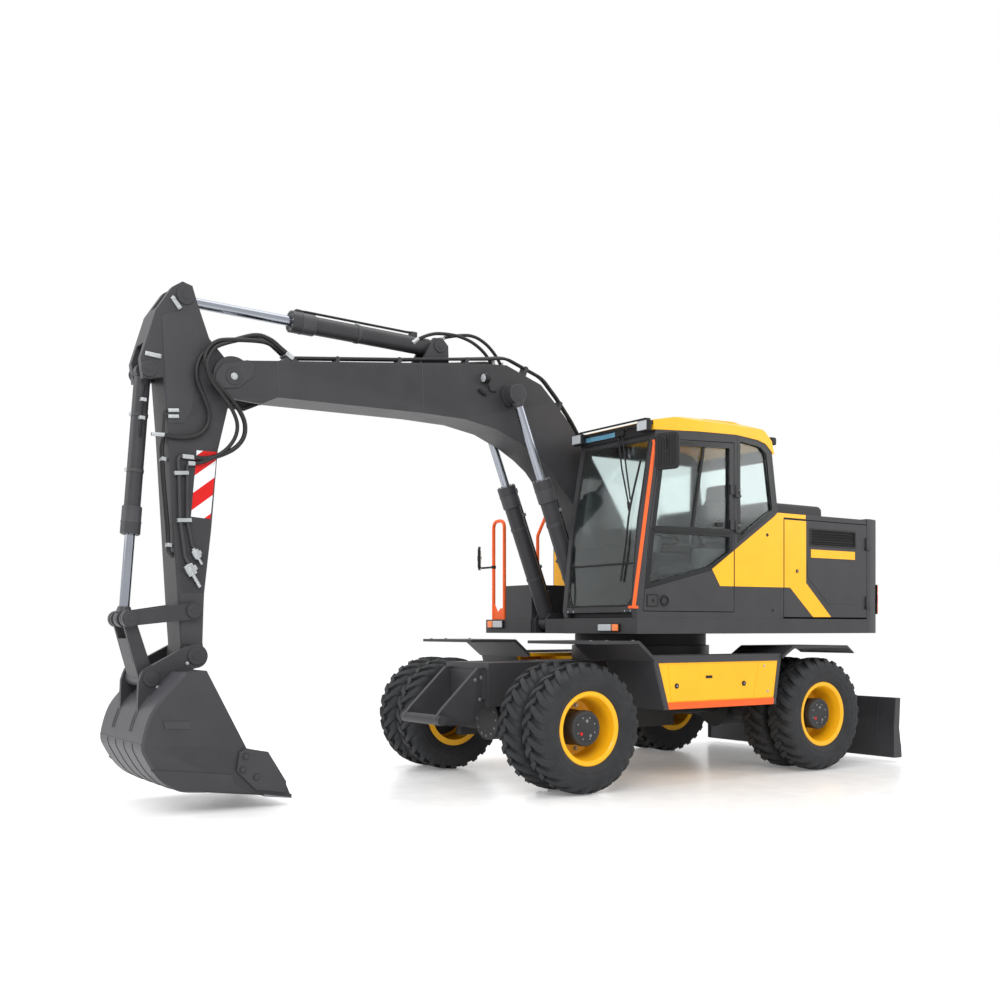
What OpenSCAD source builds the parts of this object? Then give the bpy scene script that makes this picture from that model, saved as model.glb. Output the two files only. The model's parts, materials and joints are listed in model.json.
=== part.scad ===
// Wheeled excavator with twin tyres, a one-piece boom, an arm, a bucket and a rear blade.
// Millimetres. X is forward, Y is left, Z is up, and the ground is Z = 0.
// Every sub-part is placed from the slew axis; the whole machine is then centred on its own length.

/* [Travel gear] */
// Distance between the front and the rear axle
wheelbase = 2700; // [2550:10:2850]
// Distance from the slew axis forward to the front axle
front_axle_x = 1600; // [1500:10:1700]
// Outer radius of a tyre
tyre_r = 510; // [490:5:530]
// Width of one tyre
tyre_w = 275; // [255:5:290]
// Distance between the centres of two twin tyres
twin_pitch = 320; // [310:5:335]
// Distance between the centres of the outer tyres
outer_track = 2270; // [2220:10:2320]
// Radius of the rim's bead seat
seat_r = 254; // [244:2:264]
// Distance between the two kingpins
kingpin_track = 1180; // [1140:10:1200]

/* [Upper structure] */
// Height of the underside of the upper frame
deck_z = 1240; // [1220:5:1260]
// Thickness of the upper frame
deck_t = 130; // [110:5:150]
// Radius of the tail about the slew axis
tail_r = 2030; // [1950:10:2100]
// Height of the top of the engine housing
house_z = 2300; // [2250:10:2350]
// Half the width of the upper structure
upper_half_w = 1230; // [1200:5:1245]
// Forward reach of the cab
cab_front = 1125; // [1080:5:1160]
// Height of the top of the cab roof
roof_z = 3070; // [3030:10:3110]
// Thickness of the cab's walls and door
wall = 55; // [45:5:60]

/* [Working arm] */
// Distance from the boom foot to the arm pivot
boom_len = 4120; // [4000:20:4240]
// Rest angle of the boom above level
boom_angle = 19.4; // [17:0.2:22]
// Half the width of the boom box
boom_half_w = 175; // [165:5:180]
// Sideways place of the boom's middle plane
boom_y = -100; // [-110:5:-90]
// Distance from the arm pivot to the bucket pin
arm_len = 2065; // [2010:5:2110]
// Rest angle of the arm, measured from level
arm_angle = -81.7; // [-84:0.1:-80]
// Half the width of the arm box
arm_half_w = 140; // [130:5:140]
// Width of the bucket
bucket_w = 1000; // [900:20:1100]
// Thickness of the bucket's shell
bucket_t = 25; // [20:1:30]

/* [Blade] */
// Width of the blade
blade_w = 2490; // [2400:10:2540]
// Height of the blade
blade_h = 575; // [540:5:600]
// Height of the blade's edge above the ground at rest
blade_gap = 45; // [40:5:80]
// Reach of the blade behind the rear axle
blade_reach = 1070; // [1040:10:1100]

/* [View] */
// The sub-part to draw, or all of them

/* [Hidden] */
$fn = 64;
// Running clearance of a pin or rod in its bore
run = 0.05;

// Axles and wheels
axle_z = tyre_r;
rear_axle_x = front_axle_x - wheelbase;
outer_y = outer_track / 2;
inner_y = outer_y - twin_pitch;
kingpin_y = kingpin_track / 2;
rim_w = tyre_w - 65;
flange_r = seat_r + 38;
rim_in = inner_y - rim_w / 2;
rim_out = outer_y + rim_w / 2;
hub_r = 140;
stub_r = 60;
disc_y = (inner_y + outer_y) / 2 - 15;
frame_half_w = 330;
frame_low = axle_z + 130;
frame_top = deck_z - 240;
frame_rear = rear_axle_x - 230;
frame_front = front_axle_x + 330;

// Upper structure
deck_top = deck_z + deck_t;
house_hinges = [deck_top + 120, house_z - 260];
hood_hinges = [-600, 500];
cab_hinges = [2120, 2420];
house_front = -590;
house_rear = -1733;
cab_right = 275;
cab_rear = -520;
cab_floor_z = deck_top;
cab_back_top = cab_rear + 80;
right_front = 920;

// Boom, arm and bucket pivots, as [x, z]
foot = [120, deck_z + 520];
arm_pivot = at(foot, boom_angle, [boom_len, 0]);
bucket_pin = at(arm_pivot, arm_angle, [arm_len, 0]);
bu = boom_len / 4120;
au = arm_len / 2065;
boom_rod_pin = at(foot, boom_angle, [1850 * bu, 950]);
boom_cyl_foot = [800, deck_z + 100];
arm_cyl_base = at(foot, boom_angle, [2580 * bu, 1065]);
arm_rod_pin = at(arm_pivot, arm_angle, [-490, 420]);
bucket_cyl_base = at(arm_pivot, arm_angle, [100 * au, 600]);
rocker_pin = at(arm_pivot, arm_angle, [arm_len - 320, 50]);
link_pin = at(arm_pivot, arm_angle, [arm_len - 198, 480]);
bucket_link_pin = [bucket_pin[0] + 322, bucket_pin[1] - 154];
cyl_side = 270;

// Side planes of the linkage, measured from the boom's middle plane
fork_half = arm_half_w + 7;
rocker_t = 36;
ear_in = fork_half + rocker_t + 7;
ear_out = ear_in + 40;

// Bucket outline about the bucket pin, from the mouth's top edge round the back to the lip
bucket_back = [[20, -95], [175, -105], [315, -255], [415, -390], [470, -585], [440, -690],
  [345, -830], [215, -915], [-405, -995], [-610, -1027]];
bucket_cutter = [[-565, -915], [-435, -690], [-270, -650]];
side_cutter = [[-560, -985], [-330, -945], [-190, -805], [-212, -674], [-256, -650], [-424, -683],
  [-562, -905]];

// Blade
blade_x = rear_axle_x - blade_reach;
blade_pivot = [rear_axle_x - 300, axle_z - 30];
blade_eye = [blade_x + 140, blade_gap + blade_h * 0.62];
blade_cyl_base = [frame_rear - 60, frame_low + 240];
blade_cyl_y = 180;

// Length centring
front_end = max(bucket_pin[0] + 470, link_pin[0] + 60);
rear_end = min(blade_x - 60, -tail_r - 12);
centre_x = (front_end + rear_end) / 2;

// Outermost edge of the mirrors
mirror_reach = upper_half_w + 260;

// Tyre surface across its width as [side, radius, radius on a lug, slant in steps]
lug_steps = 28;
tyre_half = [[tyre_w / 2 - 49.5, seat_r + 2, 0, 0], [tyre_w / 2 - 49.5, flange_r + 10, 0, 0],
  [tyre_w / 2, tyre_r - 115, 0, 0], [tyre_w / 2 - 18, tyre_r - 44, 26, 0.9],
  [tyre_w / 2 - 40, tyre_r - 32, 32, 0.8], [6, tyre_r - 28, 28, 0]];

// Cylinder sizes as [barrel r, bore r, gland r, rod r, barrel length, rod length]
boom_cyl = [72, 56, 84, 37, 1310, 1330];
arm_cyl = [71, 58, 84, 39, 1285, 1330];
bucket_cyl = [57, 46, 70, 36, 1165, 1250];
blade_cyl = [48, 38, 55, 25, 480, 530];

// Point p of a member's own frame, whose origin is o and whose length lies at the given angle
function at(o, angle, p) = [o[0] + p[0] * cos(angle) - p[1] * sin(angle),
  o[1] + p[0] * sin(angle) + p[1] * cos(angle)];

// Reversed list
function back(v) = [for (i = [len(v) - 1:-1:0]) v[i]];

// Unit vector to the left of the way from a to b
function left_of(a, b) = [-(b[1] - a[1]), b[0] - a[0]] / norm(b - a);

// Open line of points moved sideways by d, to the left of its own direction
function beside(v, d) = [for (i = [0:len(v) - 1])
  let (n1 = left_of(v[max(i - 1, 0)], v[max(i, 1)]))
  let (n2 = left_of(v[min(i, len(v) - 2)], v[min(i + 1, len(v) - 1)]))
  v[i] + d * (n1 + n2) / (1 + n1 * n2)];

// Closed outline moved inwards by d, for points that run anticlockwise
function inset(v, d) = let (n = len(v)) [for (i = [0:n - 1])
  let (n1 = left_of(v[(i + n - 1) % n], v[i]))
  let (n2 = left_of(v[i], v[(i + 1) % n]))
  v[i] + d * (n1 + n2) / (1 + n1 * n2)];

// Strip of thickness d to the left of an open line
function strip(v, d) = concat(v, back(beside(v, d)));

// Outline with every corner rounded, each corner given as [x, y, radius]
function rounded(v) = let (n = len(v)) [for (i = [0:n - 1])
  let (p = [v[i][0], v[i][1]])
  let (a = [v[(i + n - 1) % n][0], v[(i + n - 1) % n][1]] - p)
  let (b = [v[(i + 1) % n][0], v[(i + 1) % n][1]] - p)
  let (ua = a / norm(a))
  let (ub = b / norm(b))
  let (half = acos(max(-1, min(1, ua * ub))) / 2)
  let (r = v[i][2])
  let (c = p + (ua + ub) / norm(ua + ub) * r / sin(half))
  let (t1 = p + ua * r / tan(half))
  let (t2 = p + ub * r / tan(half))
  let (a1 = atan2(t1[1] - c[1], t1[0] - c[0]))
  let (a2 = atan2(t2[1] - c[1], t2[0] - c[0]))
  let (turn = (a2 - a1 + 540) % 360 - 180)
  for (k = [0:r == 0 ? 0 : 4]) r == 0 ? p : c + r * [cos(a1 + turn * k / 4), sin(a1 + turn * k / 4)]];

// Angle of the way from a to b
function angle_of(a, b) = atan2(b[1] - a[1], b[0] - a[0]);

// Plate with an outline in X and Z, from y0 to y1
module side_plate(v, y0, y1) {
  translate([0, y1, 0]) rotate([90, 0, 0]) linear_extrude(y1 - y0) polygon(v);
}

// Round bar across the machine, about the point p = [x, z]
module cross_bar(p, r, y0, y1) {
  translate([p[0], y1, p[1]]) rotate([90, 0, 0]) cylinder(r = r, h = y1 - y0);
}

// Box from one corner to the other
module block(a, b) {
  translate(a) cube(b - a);
}

// The same piece on both sides of the machine
module both_sides() {
  children();
  mirror([0, 1, 0]) children();
}

// Round rail bent to a U: legs along Z from the X axis, and the grip along X on top
module u_rail(width, height, bend, r) {
  for (x = [0, width]) translate([x, 0, 0]) cylinder(r = r, h = height - bend);
  translate([bend, 0, height]) rotate([0, 90, 0]) cylinder(r = r, h = width - 2 * bend);
  translate([bend, 0, height - bend]) rotate([90, 0, 0]) rotate([0, 0, 90]) rotate_extrude(angle = 90)
    translate([bend, 0]) circle(r = r);
  translate([width - bend, 0, height - bend]) rotate([90, 0, 0]) rotate_extrude(angle = 90)
    translate([bend, 0]) circle(r = r);
}

// Round rail through points [x, z], with a ball at every corner
module bent_rail(v, r) {
  n = len(v);
  for (i = [0:n - 2]) translate([v[i][0], 0, v[i][1]]) rotate([0, 90 - angle_of(v[i], v[i + 1]), 0])
    cylinder(r = r, h = norm(v[i + 1] - v[i]));
  for (i = [1:n - 2]) translate([v[i][0], 0, v[i][1]]) sphere(r = r + 1.5);
}

// Whole machine moved so that its length is centred
module placed() {
  translate([-centre_x, 0, 0]) children();
}

// Frame of a working arm member: local u and v lie in X and Z
module member(o, angle) {
  translate([o[0], boom_y, o[1]]) rotate([0, -angle, 0]) children();
}

// Wheel placed on its axle; side is 1 on the left and -1 on the right
module on_axle(x, side) {
  placed() translate([x, 0, axle_z]) rotate([-90 * side, 0, 0]) children();
}

// Barrel of a hydraulic cylinder along +X from its base eye
module barrel(s, eye_r, eye_w, pin_r) {
  difference() {
    union() {
      translate([eye_r - 15, 0, 0]) rotate([0, 90, 0]) cylinder(r = s[0], h = s[4] - eye_r + 15);
      translate([s[4] - 90, 0, 0]) rotate([0, 90, 0]) cylinder(r = s[2], h = 90);
      cross_bar([0, 0], eye_r, -eye_w / 2, eye_w / 2);
    }
    cross_bar([0, 0], pin_r + run, -eye_w, eye_w);
    translate([eye_r + 5, 0, 0]) rotate([0, 90, 0]) cylinder(r = s[1], h = s[4] - eye_r - 65);
    translate([s[4] - 100, 0, 0]) rotate([0, 90, 0]) cylinder(r = s[3] + run, h = 200);
  }
}

// Rod of a hydraulic cylinder along +X, with its eye at the distance reach
module rod(s, reach, eye_r, eye_w) {
  translate([reach - s[5], 0, 0]) rotate([0, 90, 0]) cylinder(r = s[3], h = s[5]);
  translate([reach - s[5], 0, 0]) rotate([0, 90, 0]) cylinder(r = s[1] - run, h = 50);
  cross_bar([reach, 0], eye_r, -eye_w / 2, eye_w / 2);
}

// Cylinder part placed from its base pin towards its rod pin, at a distance y from the middle
module ram(base, pin, y) {
  placed() translate([base[0], y, base[1]]) rotate([0, -angle_of(base, pin), 0]) children();
}

// Chassis

module chassis_frame() {
  color("#3c4045") placed() {
    difference() {
      union() {
        block([frame_rear, -frame_half_w, frame_low], [frame_front, frame_half_w, frame_top]);
        translate([0, 0, frame_low]) cylinder(r = 640, h = deck_z - 110 - frame_low);
        both_sides() side_plate([[blade_pivot[0] - 75, blade_pivot[1] - 60],
            [blade_pivot[0] + 60, blade_pivot[1] - 75], [frame_rear + 150, frame_low + 40],
            [frame_rear - 20, frame_low + 40], [blade_pivot[0] - 75, blade_pivot[1] + 60]], 280,
              frame_half_w);
        for (y = [-260, -125, 100, 235]) side_plate([[frame_rear + 5, blade_cyl_base[1] - 80],
            [frame_rear + 5, blade_cyl_base[1] + 80], [blade_cyl_base[0] - 45, blade_cyl_base[1] + 40],
            [blade_cyl_base[0] - 45, blade_cyl_base[1] - 40]], y, y + 25);
      }
      translate([0, 0, frame_low - 1]) cylinder(r = 540, h = deck_z);
      block([frame_rear + 80, -frame_half_w + 30, frame_low - 1], [-450, frame_half_w - 30,
        frame_top - 30]);
      block([450, -frame_half_w + 30, frame_low - 1], [frame_front - 40, frame_half_w - 30,
        frame_top - 30]);
    }
    cross_bar(blade_pivot, 40, -frame_half_w, frame_half_w);
    both_sides() cross_bar(blade_cyl_base, 25, 100, 260);
  }
}

module slew_ring() {
  color("#2d3033") placed() translate([0, 0, deck_z - 110]) difference() {
    cylinder(r = 610, h = 105);
    translate([0, 0, -1]) cylinder(r = 440 + run, h = 120);
  }
}

module front_axle() {
  color("#33363a") placed() translate([front_axle_x, 0, axle_z]) difference() {
    union() {
      block([-105, -500, -95], [105, 500, 95]);
      translate([-130, 0, 0]) rotate([0, 90, 0]) cylinder(r = 175, h = 260);
      block([-90, -frame_half_w + 20, 0], [90, frame_half_w - 20, frame_low - axle_z]);
      both_sides() {
        block([-90, kingpin_y - 115, -172], [90, kingpin_y - 62, 172]);
        for (z = [130, -172]) {
          block([-60, kingpin_y - 100, z], [60, kingpin_y, z + 42]);
          translate([0, kingpin_y, z]) cylinder(r = 60, h = 42);
        }
      }
    }
    both_sides() translate([0, kingpin_y, -200]) cylinder(r = 35 + run, h = 400);
  }
}

module rear_axle() {
  color("#33363a") placed() translate([rear_axle_x, 0, axle_z]) {
    rotate([90, 0, 0]) translate([0, 0, -rim_in + 25]) cylinder(r = 105, h = 2 * rim_in - 50);
    rotate([90, 0, 0]) translate([0, 0, -disc_y + 60]) cylinder(r = stub_r, h = 2 * disc_y - 120);
    translate([-140, 0, 0]) rotate([0, 90, 0]) cylinder(r = 190, h = 280);
    block([-100, -frame_half_w + 20, 0], [100, frame_half_w - 20, frame_low - axle_z]);
  }
}

module drive_line() {
  color("#2d3033") placed() {
    translate([rear_axle_x + 140, 0, axle_z]) rotate([0, 90, 0]) cylinder(r = 45, h = wheelbase - 270);
    block([-260, -180, axle_z - 130], [260, 180, frame_low]);
  }
}

module front_bracket() {
  color("#3c4045") placed() {
    both_sides() side_plate([[frame_front, frame_low + 10], [frame_front + 130, 495],
      [frame_front + 450, 505],
        [frame_front + 470, 560], [frame_front + 400, 640], [frame_front + 200, 830],
        [frame_front + 60, frame_top - 40], [frame_front, frame_top - 40]], 230, 270);
    cross_bar([frame_front + 425, 545], 42, -300, 300);
    block([frame_front, -290, frame_low + 60], [frame_front + 30, 290, frame_top - 60]);
  }
}

// Fender sheet from over the front axle back to the step, and from the step over the rear wheel
module fenders() {
  front = [[front_axle_x + 10, tyre_r * 2 + 140], [front_axle_x + 10, tyre_r * 2 + 165],
    [front_axle_x - 480, tyre_r * 2 + 165], [960, tyre_r * 2 + 35], [960, tyre_r * 2],
    [front_axle_x - 465, tyre_r * 2 + 140]];
  rear = [[-535, tyre_r * 2], [-535, tyre_r * 2 + 30], [rear_axle_x + 430, tyre_r * 2 + 110],
    [rear_axle_x - 300, tyre_r * 2 + 110], [rear_axle_x - 400, tyre_r * 2 + 40],
    [rear_axle_x - 388, tyre_r * 2 + 35], [rear_axle_x - 290, tyre_r * 2 + 85],
    [rear_axle_x + 420, tyre_r * 2 + 85]];
  color("#34383c") placed() both_sides() {
    side_plate(front, frame_half_w + 100, outer_y + tyre_w / 2);
    side_plate(rear, inner_y - 170, outer_y + tyre_w / 2);
  }
}

module step_boxes() {
  v = [[-465, 625], [825, 625], [960, tyre_r * 2 + 30], [-535, tyre_r * 2 + 30]];
  color("#f2b91e") placed() both_sides() {
    difference() {
      side_plate(v, 655, outer_y + tyre_w / 2 - 30);
      side_plate(inset(v, 30), 600, outer_y + tyre_w / 2 - 60);
    }
    difference() {
      for (x = [-400, 300]) block([x, frame_half_w, 930], [x + 200, 900, tyre_r * 2 + 1]);
      cylinder(r = 640.3, h = deck_z);
    }
  }
}

// Steering

module knuckle(side) {
  color("#33363a") placed() translate([front_axle_x, 0, axle_z]) mirror([0, side < 0 ? 1 : 0, 0]) {
    translate([0, kingpin_y, -125]) cylinder(r = 52, h = 250);
    translate([0, kingpin_y, -172]) cylinder(r = 35, h = 344);
    rotate([-90, 0, 0]) translate([0, 0, kingpin_y]) cylinder(r = 80, h = rim_in - kingpin_y - 12);
    rotate([-90, 0, 0]) translate([0, 0, kingpin_y]) cylinder(r = stub_r, h = disc_y - 60 - kingpin_y);
  }
}

module knuckle_left() {
  knuckle(1);
}

module knuckle_right() {
  knuckle(-1);
}

// Wheels

module rims(x, side) {
  color("#f2b91e") on_axle(x, side) rotate_extrude($fn = 96) {
    translate([seat_r - 16, rim_in]) square([16, rim_out - rim_in]);
    for (y = [inner_y, outer_y]) {
      translate([seat_r - 16, y - rim_w / 2]) square([flange_r - seat_r + 16, 16]);
      translate([seat_r - 16, y + rim_w / 2 - 16]) square([flange_r - seat_r + 16, 16]);
    }
    translate([hub_r, disc_y]) square([seat_r - hub_r - 8, 26]);
  }
}

// Tyre as rings of points round its axle, with slanted lugs set in turn on its two halves
module tyre() {
  across = concat([for (q = tyre_half) [-q[0], q[1], q[2], q[3], 0]],
    [for (q = back(tyre_half)) [q[0], q[1], q[2], q[3], 1]]);
  n = len(across);
  points = [for (i = [0:lug_steps - 1], q = across)
    let (r = q[1] + ((i + q[4]) % 2 == 0 ? q[2] : 0))
    let (a = (i + q[3]) * 360 / lug_steps)
    [r * cos(a), r * sin(a), q[0]]];
  faces = [for (i = [0:lug_steps - 1], j = [0:n - 1])
    let (k = (i + 1) % lug_steps)
    let (l = (j + 1) % n)
    for (half = [0, 1]) half == 0 ? [i * n + j, i * n + l, k * n + l] : [i * n + j, k * n + l, k * n + j]];
  polyhedron(points, faces);
}

module tyres(x, side) {
  color("#1e1f21") on_axle(x, side) {
    for (y = [inner_y, outer_y]) translate([0, 0, y]) tyre();
  }
}

module hub(x, side) {
  color("#2d3033") on_axle(x, side) difference() {
    union() {
      translate([0, 0, rim_in - 5]) cylinder(r = 110, h = 60);
      translate([0, 0, rim_in - 5]) cylinder(r = 125, h = disc_y - rim_in - 15);
      translate([0, 0, disc_y - 30]) cylinder(r = 205, h = 30);
      translate([0, 0, disc_y - 30]) cylinder(r = hub_r, h = outer_y + 65 - disc_y + 30);
    }
    translate([0, 0, rim_in - 10]) cylinder(r = stub_r + run, h = disc_y - rim_in - 45);
  }
}

module rims_fl() { rims(front_axle_x, 1); }
module rims_fr() { rims(front_axle_x, -1); }
module rims_rl() { rims(rear_axle_x, 1); }
module rims_rr() { rims(rear_axle_x, -1); }
module tyres_fl() { tyres(front_axle_x, 1); }
module tyres_fr() { tyres(front_axle_x, -1); }
module tyres_rl() { tyres(rear_axle_x, 1); }
module tyres_rr() { tyres(rear_axle_x, -1); }
module hub_fl() { hub(front_axle_x, 1); }
module hub_fr() { hub(front_axle_x, -1); }
module hub_rl() { hub(rear_axle_x, 1); }
module hub_rr() { hub(rear_axle_x, -1); }

// Blade

module blade() {
  top = blade_gap + blade_h;
  face = [[blade_x + 40, blade_gap], [blade_x - 60, blade_gap], [blade_x - 45, blade_gap + 60],
    [blade_x - 10, blade_gap + blade_h / 2], [blade_x - 30, top], [blade_x + 20, top],
    [blade_x + 45, blade_gap + blade_h / 2]];
  color("#3c4045") placed() {
    side_plate(face, -blade_w / 2, blade_w / 2);
    both_sides() difference() {
      union() {
        side_plate([[blade_x + 10, blade_gap + 130], [blade_pivot[0], blade_pivot[1] - 65],
          [blade_pivot[0], blade_pivot[1] + 65], [blade_x + 20, blade_gap + 330]], 215, 272);
        cross_bar(blade_pivot, 65, 215, 272);
        side_plate([[blade_x + 10, blade_eye[1] - 70], [blade_eye[0] + 50, blade_eye[1] - 40],
          [blade_eye[0] + 50, blade_eye[1] + 40], [blade_x + 10, blade_eye[1] + 80]], 130, 155);
        side_plate([[blade_x + 10, blade_eye[1] - 70], [blade_eye[0] + 50, blade_eye[1] - 40],
          [blade_eye[0] + 50, blade_eye[1] + 40], [blade_x + 10, blade_eye[1] + 80]], 205, 230);
      }
      cross_bar(blade_pivot, 40 + run, 200, 300);
    }
  }
}

module blade_barrels() {
  color("#3c4045") for (s = [-1, 1]) ram(blade_cyl_base, blade_eye, s * blade_cyl_y)
    barrel(blade_cyl, 45, 46, 25);
}

module blade_rods() {
  reach = norm(blade_eye - blade_cyl_base);
  color("#c9ccd0") for (s = [-1, 1]) ram(blade_cyl_base, blade_eye, s * blade_cyl_y)
    rod(blade_cyl, reach, 42, 40);
}

// Upper structure

module upper_frame() {
  plan = [[house_rear, -upper_half_w], [right_front, -upper_half_w], [right_front, -480], [900, -480],
    [900, cab_right], [cab_front - 15, cab_right], [cab_front - 15, upper_half_w], [house_rear,
      upper_half_w]];
  bracket = [[-300, deck_top - 10], [560, deck_top - 10], [foot[0] + 120, foot[1] + 30],
    [foot[0] + 70, foot[1] + 110], [foot[0] - 70, foot[1] + 110], [foot[0] - 120, foot[1] + 30]];
  c = boom_cyl_foot;
  lug = [[c[0] - 110, deck_z], [c[0] + 90, deck_z], [c[0] + 90, c[1] + 30], [c[0] + 50, c[1] + 80],
    [c[0] - 60, c[1] + 80], [c[0] - 110, c[1] + 20]];
  near = boom_half_w + 15;
  color("#34383c") placed() {
    difference() {
      translate([0, 0, deck_z]) linear_extrude(deck_t) polygon(plan);
      for (s = [-1, 1]) block([c[0] - 140, boom_y + s * cyl_side - 95, deck_z + 5],
          [950, boom_y + s * cyl_side + 95, deck_top + 5]);
      both_sides() block([house_rear + 60, 560, deck_z - 1], [860, upper_half_w - 50, deck_top - 30]);
      block([house_rear + 60, -520, deck_z - 1], [-480, 520, deck_top - 30]);
    }
    translate([0, 0, deck_z - 90]) difference() {
      cylinder(r = 440, h = 100);
      translate([0, 0, -1]) cylinder(r = 330, h = 80);
    }
    for (s = [-1, 1]) {
      side_plate(bracket, boom_y + (s < 0 ? -near - 40 : near), boom_y + (s < 0 ? -near : near + 40));
      for (d = [-102, 77]) side_plate(lug, boom_y + s * cyl_side + d, boom_y + s * cyl_side + d + 25);
      cross_bar(c, 40, boom_y + s * cyl_side - 102, boom_y + s * cyl_side + 102);
    }
    cross_bar(foot, 50, boom_y - near - 40, boom_y + near + 40);
  }
}

module counterweight() {
  w = upper_half_w;
  plan = rounded([[house_rear, -w, 0], [house_rear, w, 0], [-tail_r, w, 250], [-tail_r, -w, 250]]);
  color("#2a2c2f") placed() {
    difference() {
      translate([0, 0, deck_z]) linear_extrude(house_z + 10 - deck_z) polygon(plan);
      both_sides() translate([house_rear - 130, 600, house_z - 70]) cylinder(r = 15, h = 100);
    }
    both_sides() for (z = house_hinges) {
      block([house_rear - 40, w - 1, z - 22], [house_rear, w + 20, z - 2]);
      block([house_rear - 1, w + 1, z - 22], [house_rear + 25, w + 20, z - 2]);
      translate([house_rear + 14, w + 9, z - 22]) cylinder(r = 6, h = 110);
    }
    for (y = hood_hinges) {
      block([house_rear - 40, y + 102, house_z + 2], [house_rear + 33, y + 122, house_z + 20]);
      cross_bar([house_rear + 22, house_z + 9], 6, y, y + 122);
    }
  }
}

module engine_block() {
  color("#55595e") placed() block([house_rear + 90, -400, deck_top], [house_front - 250, 400,
    house_z - 250]);
}

module house_frame() {
  w = upper_half_w - 60;
  color("#2a2c2f") placed() {
    block([house_front, -upper_half_w + 5, deck_top], [house_front + 45, cab_right - 5, house_z - 45]);
    block([house_front, cab_right - 6, deck_top], [house_front + 45, upper_half_w, house_z - 45]);
    both_sides() block([house_rear, w - 70, house_z - 110], [house_front + 1, w, house_z - 52]);
  }
}

module hood() {
  color("#f2b91e") placed() difference() {
    union() {
      block([house_rear + 5, -upper_half_w + 5, house_z - 44], [house_front + 40, upper_half_w - 5,
        house_z]);
      block([house_front - 560, -420, house_z - 1], [house_front + 20, 620, house_z + 70]);
      for (y = hood_hinges) cross_bar([house_rear + 22, house_z + 9], 11, y, y + 98);
    }
    block([house_front - 530, -390, house_z - 60], [house_front - 10, 590, house_z + 50]);
    for (y = hood_hinges) {
      block([house_rear, y + 98, house_z - 60], [house_rear + 60, y + 126, house_z + 30]);
      cross_bar([house_rear + 22, house_z + 9], 6 + run, y - 1, y + 130);
    }
  }
}

module house_door() {
  w = upper_half_w;
  difference() {
    union() {
      block([house_rear + 6, w - 45, deck_top + 15], [house_front - 5, w, house_z - 51]);
      for (z = house_hinges) translate([house_rear + 14, w + 9, z]) cylinder(r = 11, h = 90);
    }
    for (z = house_hinges) translate([house_rear + 14, w + 9, z - 30]) cylinder(r = 6 + run, h = 150);
    for (z = house_hinges) translate([house_rear + 14, w + 9, z - 26]) cylinder(r = 25, h = 26);
    block([house_rear + 178, w - 22, house_z - 265], [house_rear + 783, w + 1, house_z - 130]);
  }
  for (z = [house_z - 255:24:house_z - 140]) block([house_rear + 177, w - 23, z], [house_rear + 784,
    w - 5, z + 9]);
}

module left_door() {
  color("#f2b91e") placed() house_door();
}

module right_door() {
  color("#f2b91e") placed() mirror([0, 1, 0]) house_door();
}

module fuel_tank() {
  a = [house_front + 46, -upper_half_w + 5, deck_top];
  b = [100, boom_y - boom_half_w - 70, house_z - 150];
  color("#2a2c2f") placed() difference() {
    block(a, b);
    block([a[0] + 20, a[1] + 20, deck_top - 1], [b[0] - 20, b[1] - 20, b[2] - 20]);
  }
}

// Tool box at the front right corner, and the lower step behind it
module tool_box() {
  color("#2a2c2f") placed() difference() {
    union() {
      block([432, -900, deck_top], [right_front - 10, -480, 1690]);
      block([102, -upper_half_w + 15, deck_top], [433, -480, 1560]);
    }
    block([452, -880, deck_top - 1], [right_front - 30, -500, 1670]);
    block([122, -upper_half_w + 35, deck_top - 1], [413, -500, 1540]);
  }
}

module handrails() {
  a = [cab_front + 40, 1455];
  b = [cab_front - 185, roof_z - 280];
  y = upper_half_w + 20;
  color("#ff6a13") placed() {
    translate([right_front - 60, -1183, deck_top]) rotate([0, 0, 90]) u_rail(185, 960, 60, 17);
    translate([0, -1150, 0]) bent_rail([[350, 1560], [350, 2212], [300, 2362], [225, 2440], [185,
      2460], [-380, 2460],
      [-420, 2420], [-420, house_z - 150]], 17);
    translate([a[0], y, a[1]]) rotate([0, 90 - angle_of(a, b), 0]) cylinder(r = 14, h = norm(b - a));
    block([cab_front + 0.2, y - 50, cab_floor_z + 70], [a[0] + 15, y + 12, a[1] + 8]);
    block([b[0] - 35, upper_half_w + 0.3, b[1] - 15], [b[0] + 15, y + 12, b[1] + 7]);
  }
}

module lamps() {
  z = roof_z - 110;
  mid = (cab_right + upper_half_w) / 2;
  color("#d8dade") placed() {
    block([cab_front - 184.7, mid - 480, z - 35], [cab_front - 163, mid + 480, z - 5]);
    for (s = [-1, 1]) block([cab_front - 165, mid + s * 425 - 65, z - 95], [cab_front - 95,
      mid + s * 425 + 65, z]);
    block([cab_back_top - 105, upper_half_w - 120, roof_z - 192], [cab_back_top - 6.5,
      upper_half_w - 30, roof_z - 105]);
    block([cab_front - 15, 720, deck_z + 15], [cab_front + 15, 990, deck_z + 80]);
    block([right_front, -1172, deck_z + 45], [right_front + 30, -911, deck_z + 125]);
    both_sides() translate([250 - tail_r, upper_half_w - 250, deck_z + 180]) rotate([0, 0, 135])
      translate([250.3, -60, 0]) cube([14, 120, 280]);
  }
}

// Mirror of width w, height h and thickness t, turned by a, whose outer edge is at the mirrors' reach
module mirror_plate(x, z, a, w, h, t) {
  translate([x, mirror_reach - w / 2 * cos(a) - t / 2 * sin(abs(a)), z]) rotate([0, 0, a])
    translate([-t / 2, -w / 2, 0]) cube([t, w, h]);
}

module mirrors() {
  color("#1c1d1f") placed() {
    mirror_plate(922, 2545, 17, 215, 295, 40);
    block([880, upper_half_w + 0.3, 2803], [958, upper_half_w + 62, 2828]);
    mirror([0, 1, 0]) {
      mirror_plate(880, 1865, 33.5, 190, 230, 35);
      cross_bar([862, 1885], 11, 1200.3, 1438);
    }
  }
}

// Cab

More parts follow.
